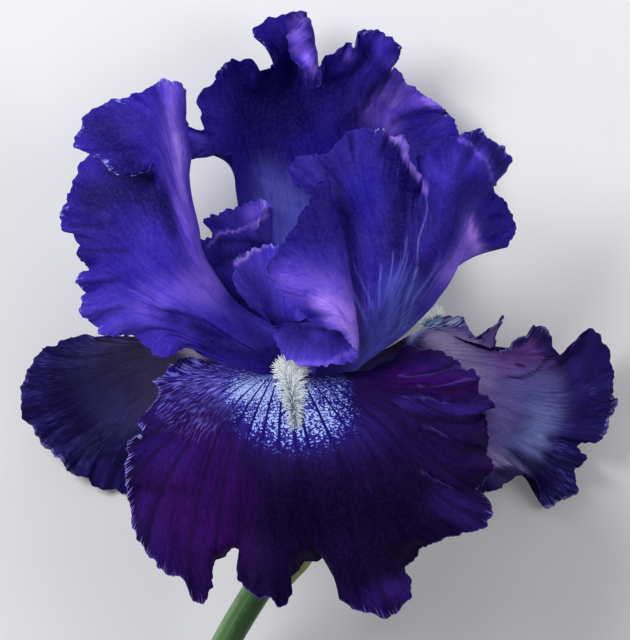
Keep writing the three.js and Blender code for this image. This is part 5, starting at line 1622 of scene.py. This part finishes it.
for name, node, rings, rows, columns, seed, turn, paint in [
    ("StandardLeft", "standard_left", LEFT_STANDARD, STANDARD_ROWS, 500, 4.0, -1,
     satin_paint("violet", LEFT_STANDARD_BRUSH, LEFT_STANDARD_RIM_GLINTS, LEFT_STANDARD_LINED,
                 LEFT_STANDARD_FOLDS, 0.9)),
    ("StandardRight", "standard_right", RIGHT_STANDARD, STANDARD_ROWS, 600, 5.0, 1,
     satin_paint("royal", RIGHT_STANDARD_BRUSH, RIGHT_STANDARD_RIM_GLINTS, RIGHT_STANDARD_LINED,
                 RIGHT_STANDARD_FOLDS, 0.5)),
    ("StandardBack", "standard_back", BACK_STANDARD, BACK_ROWS, 560, 6.0, -1,
     satin_paint("indigo", BACK_STANDARD_BRUSH, BACK_STANDARD_RIM_GLINTS, BACK_STANDARD_LINED,
                 BACK_STANDARD_FOLDS, 0.6)),
]:
    petal(name, node, "standard_petal", drawn_rings(rings), rows, columns, STANDARD_RUFFLES, RIM_TEETH, seed,
          turn, standard_looks, paint)

for name, node, rings, columns, seed, turn in [
    ("StyleFront", "style_front", FRONT_STYLE, 200, 7.0, 1),
    ("StyleLeft", "style_left", LEFT_STYLE, 170, 8.0, -1),
    ("StyleRight", "style_right", RIGHT_STYLE, 140, 9.0, 1),
]:
    petal(name, node, "style_arm", drawn_rings(rings), STYLE_ROWS, columns, STYLE_RUFFLES, CREST_TEETH, seed,
          turn, style_looks, satin_paint("bright", STYLE_BRUSH, STYLE_RIM_GLINTS, [], [], 0.25))


def dress(piece, look, slot, node):
    """Gives a round piece its material and finishes it."""
    piece.data.materials.append(look)
    finish_piece(piece, slot, node)


stem = swept("Stem", AXIS, (STEM_START, 1), rows_of(count=130), stem_radius, sides=90)
dress(stem, stem_look, "green_stem", "stem")
ovary = swept("OvaryAndTube", AXIS, (0, OVARY_END), rows_of(count=90), ovary_radius, sides=72)
dress(ovary, stem_look, "green_stem", "ovary_and_tube")

for name, node, rings in [
    ("BractOuter", "bract_outer",
     bract_rings(direction=200, base=0.425, tip=0.1, half_angle=112, clearance=1.1)),
    ("BractInner", "bract_inner",
     bract_rings(direction=20, base=0.42, tip=0.14, half_angle=98, clearance=0)),
]:
    petal(name, node, "bract", rings, BRACT_ROWS, columns=80, ruffles=BRACT_RUFFLES, teeth=BRACT_TEETH,
          seed=11.0, turn=1, looks=bract_looks, paint={}, thickness=BRACT_THICKNESS)

front_stamen = [[0, ROOT_LEVEL, 4.2], [0, -4.5, 6.5], [0, -1.5, 10], [0, 2, 14], [0, 4.5, 17]]
right_stamen = [[3.6, ROOT_LEVEL, -2.1], [6, -3, -3.5], [9, 2, -5.2], [11.5, 7, -6.5], [13, 11, -7]]
left_stamen = [[-x, y, z] for x, y, z in right_stamen]
for name, node, points in [
    ("StamenFront", "stamen_front", front_stamen),
    ("StamenLeft", "stamen_left", left_stamen),
    ("StamenRight", "stamen_right", right_stamen),
]:
    stamen = swept(name, points, (0, 1), rows_of(count=60), stamen_radius, sides=28)
    dress(stamen, stamen_look, "stamen", node)

for name, node, rings, stretch, seed in [
    ("BeardFront", "beard_front", FRONT_FALL, (0.3, 0.54, 0.5), 11),
    ("BeardLeft", "beard_left", LEFT_FALL, (0.38, 0.62, 0.5), 23),
    ("BeardRight", "beard_right", RIGHT_FALL, (0.62, 0.86, 0.008), 37),
]:
    dress(beard(name, drawn_rings(rings), stretch, seed), beard_look, "beard_hair", node)


def pale_paper(name):
    """Matt, nearly white paper with faint clouds, which takes soft shadows and gives no reflections."""
    material, tree, shader = new_material(name)
    place = add(tree, "ShaderNodeTexCoord").outputs["Object"]
    feeds = {"Vector": place, "Scale": 1 / FLOOR_CLOUDS, "Detail": 3}
    clouds = add(tree, "ShaderNodeTexNoise", feeds).outputs[0]
    colour = painted(tree, linear("#dedee1"), [(clouds, 0.4, 0.6, 1.0, "#d9d9dd", "MIX")])
    tree.links.new(colour, shader.inputs["Base Color"])
    shader.inputs["Roughness"].default_value = 0.85
    return material


def stage():
    """A pale floor, soft studio lights and the camera that looks straight down on the flower."""
    deselect()
    bpy.ops.mesh.primitive_plane_add(size=FLOOR_SIZE, location=(0, 0, -FLOOR_DROP))
    floor = bpy.context.object
    floor.name = "Floor"
    floor.data.materials.append(pale_paper("pale_paper"))

    for name, place, size, power in LIGHTS:
        bpy.ops.object.light_add(type="AREA", location=place)
        light = bpy.context.object
        light.name = name
        light.data.energy = power
        light.data.size = size
        light.rotation_euler = (Vector(LIGHT_AIM) - Vector(place)).to_track_quat("-Z", "Y").to_euler()

    world = bpy.data.worlds.new("studio")
    bpy.context.scene.world = world
    world.use_nodes = True
    world.node_tree.nodes["Background"].inputs["Color"].default_value = (1, 1, 1, 1)
    world.node_tree.nodes["Background"].inputs["Strength"].default_value = SURROUNDING_LIGHT

    bpy.ops.object.camera_add(location=to_row(np.array(EYE)))
    camera = bpy.context.object
    camera.name = "Camera"
    camera.data.sensor_fit = "VERTICAL"
    camera.data.sensor_height = SENSOR
    camera.data.lens = SENSOR * EYE[2] / FRAME_HEIGHT
    camera.data.clip_end = CAMERA_REACH
    bpy.context.scene.camera = camera
    bpy.context.scene.view_settings.view_transform = "Standard"


stage()
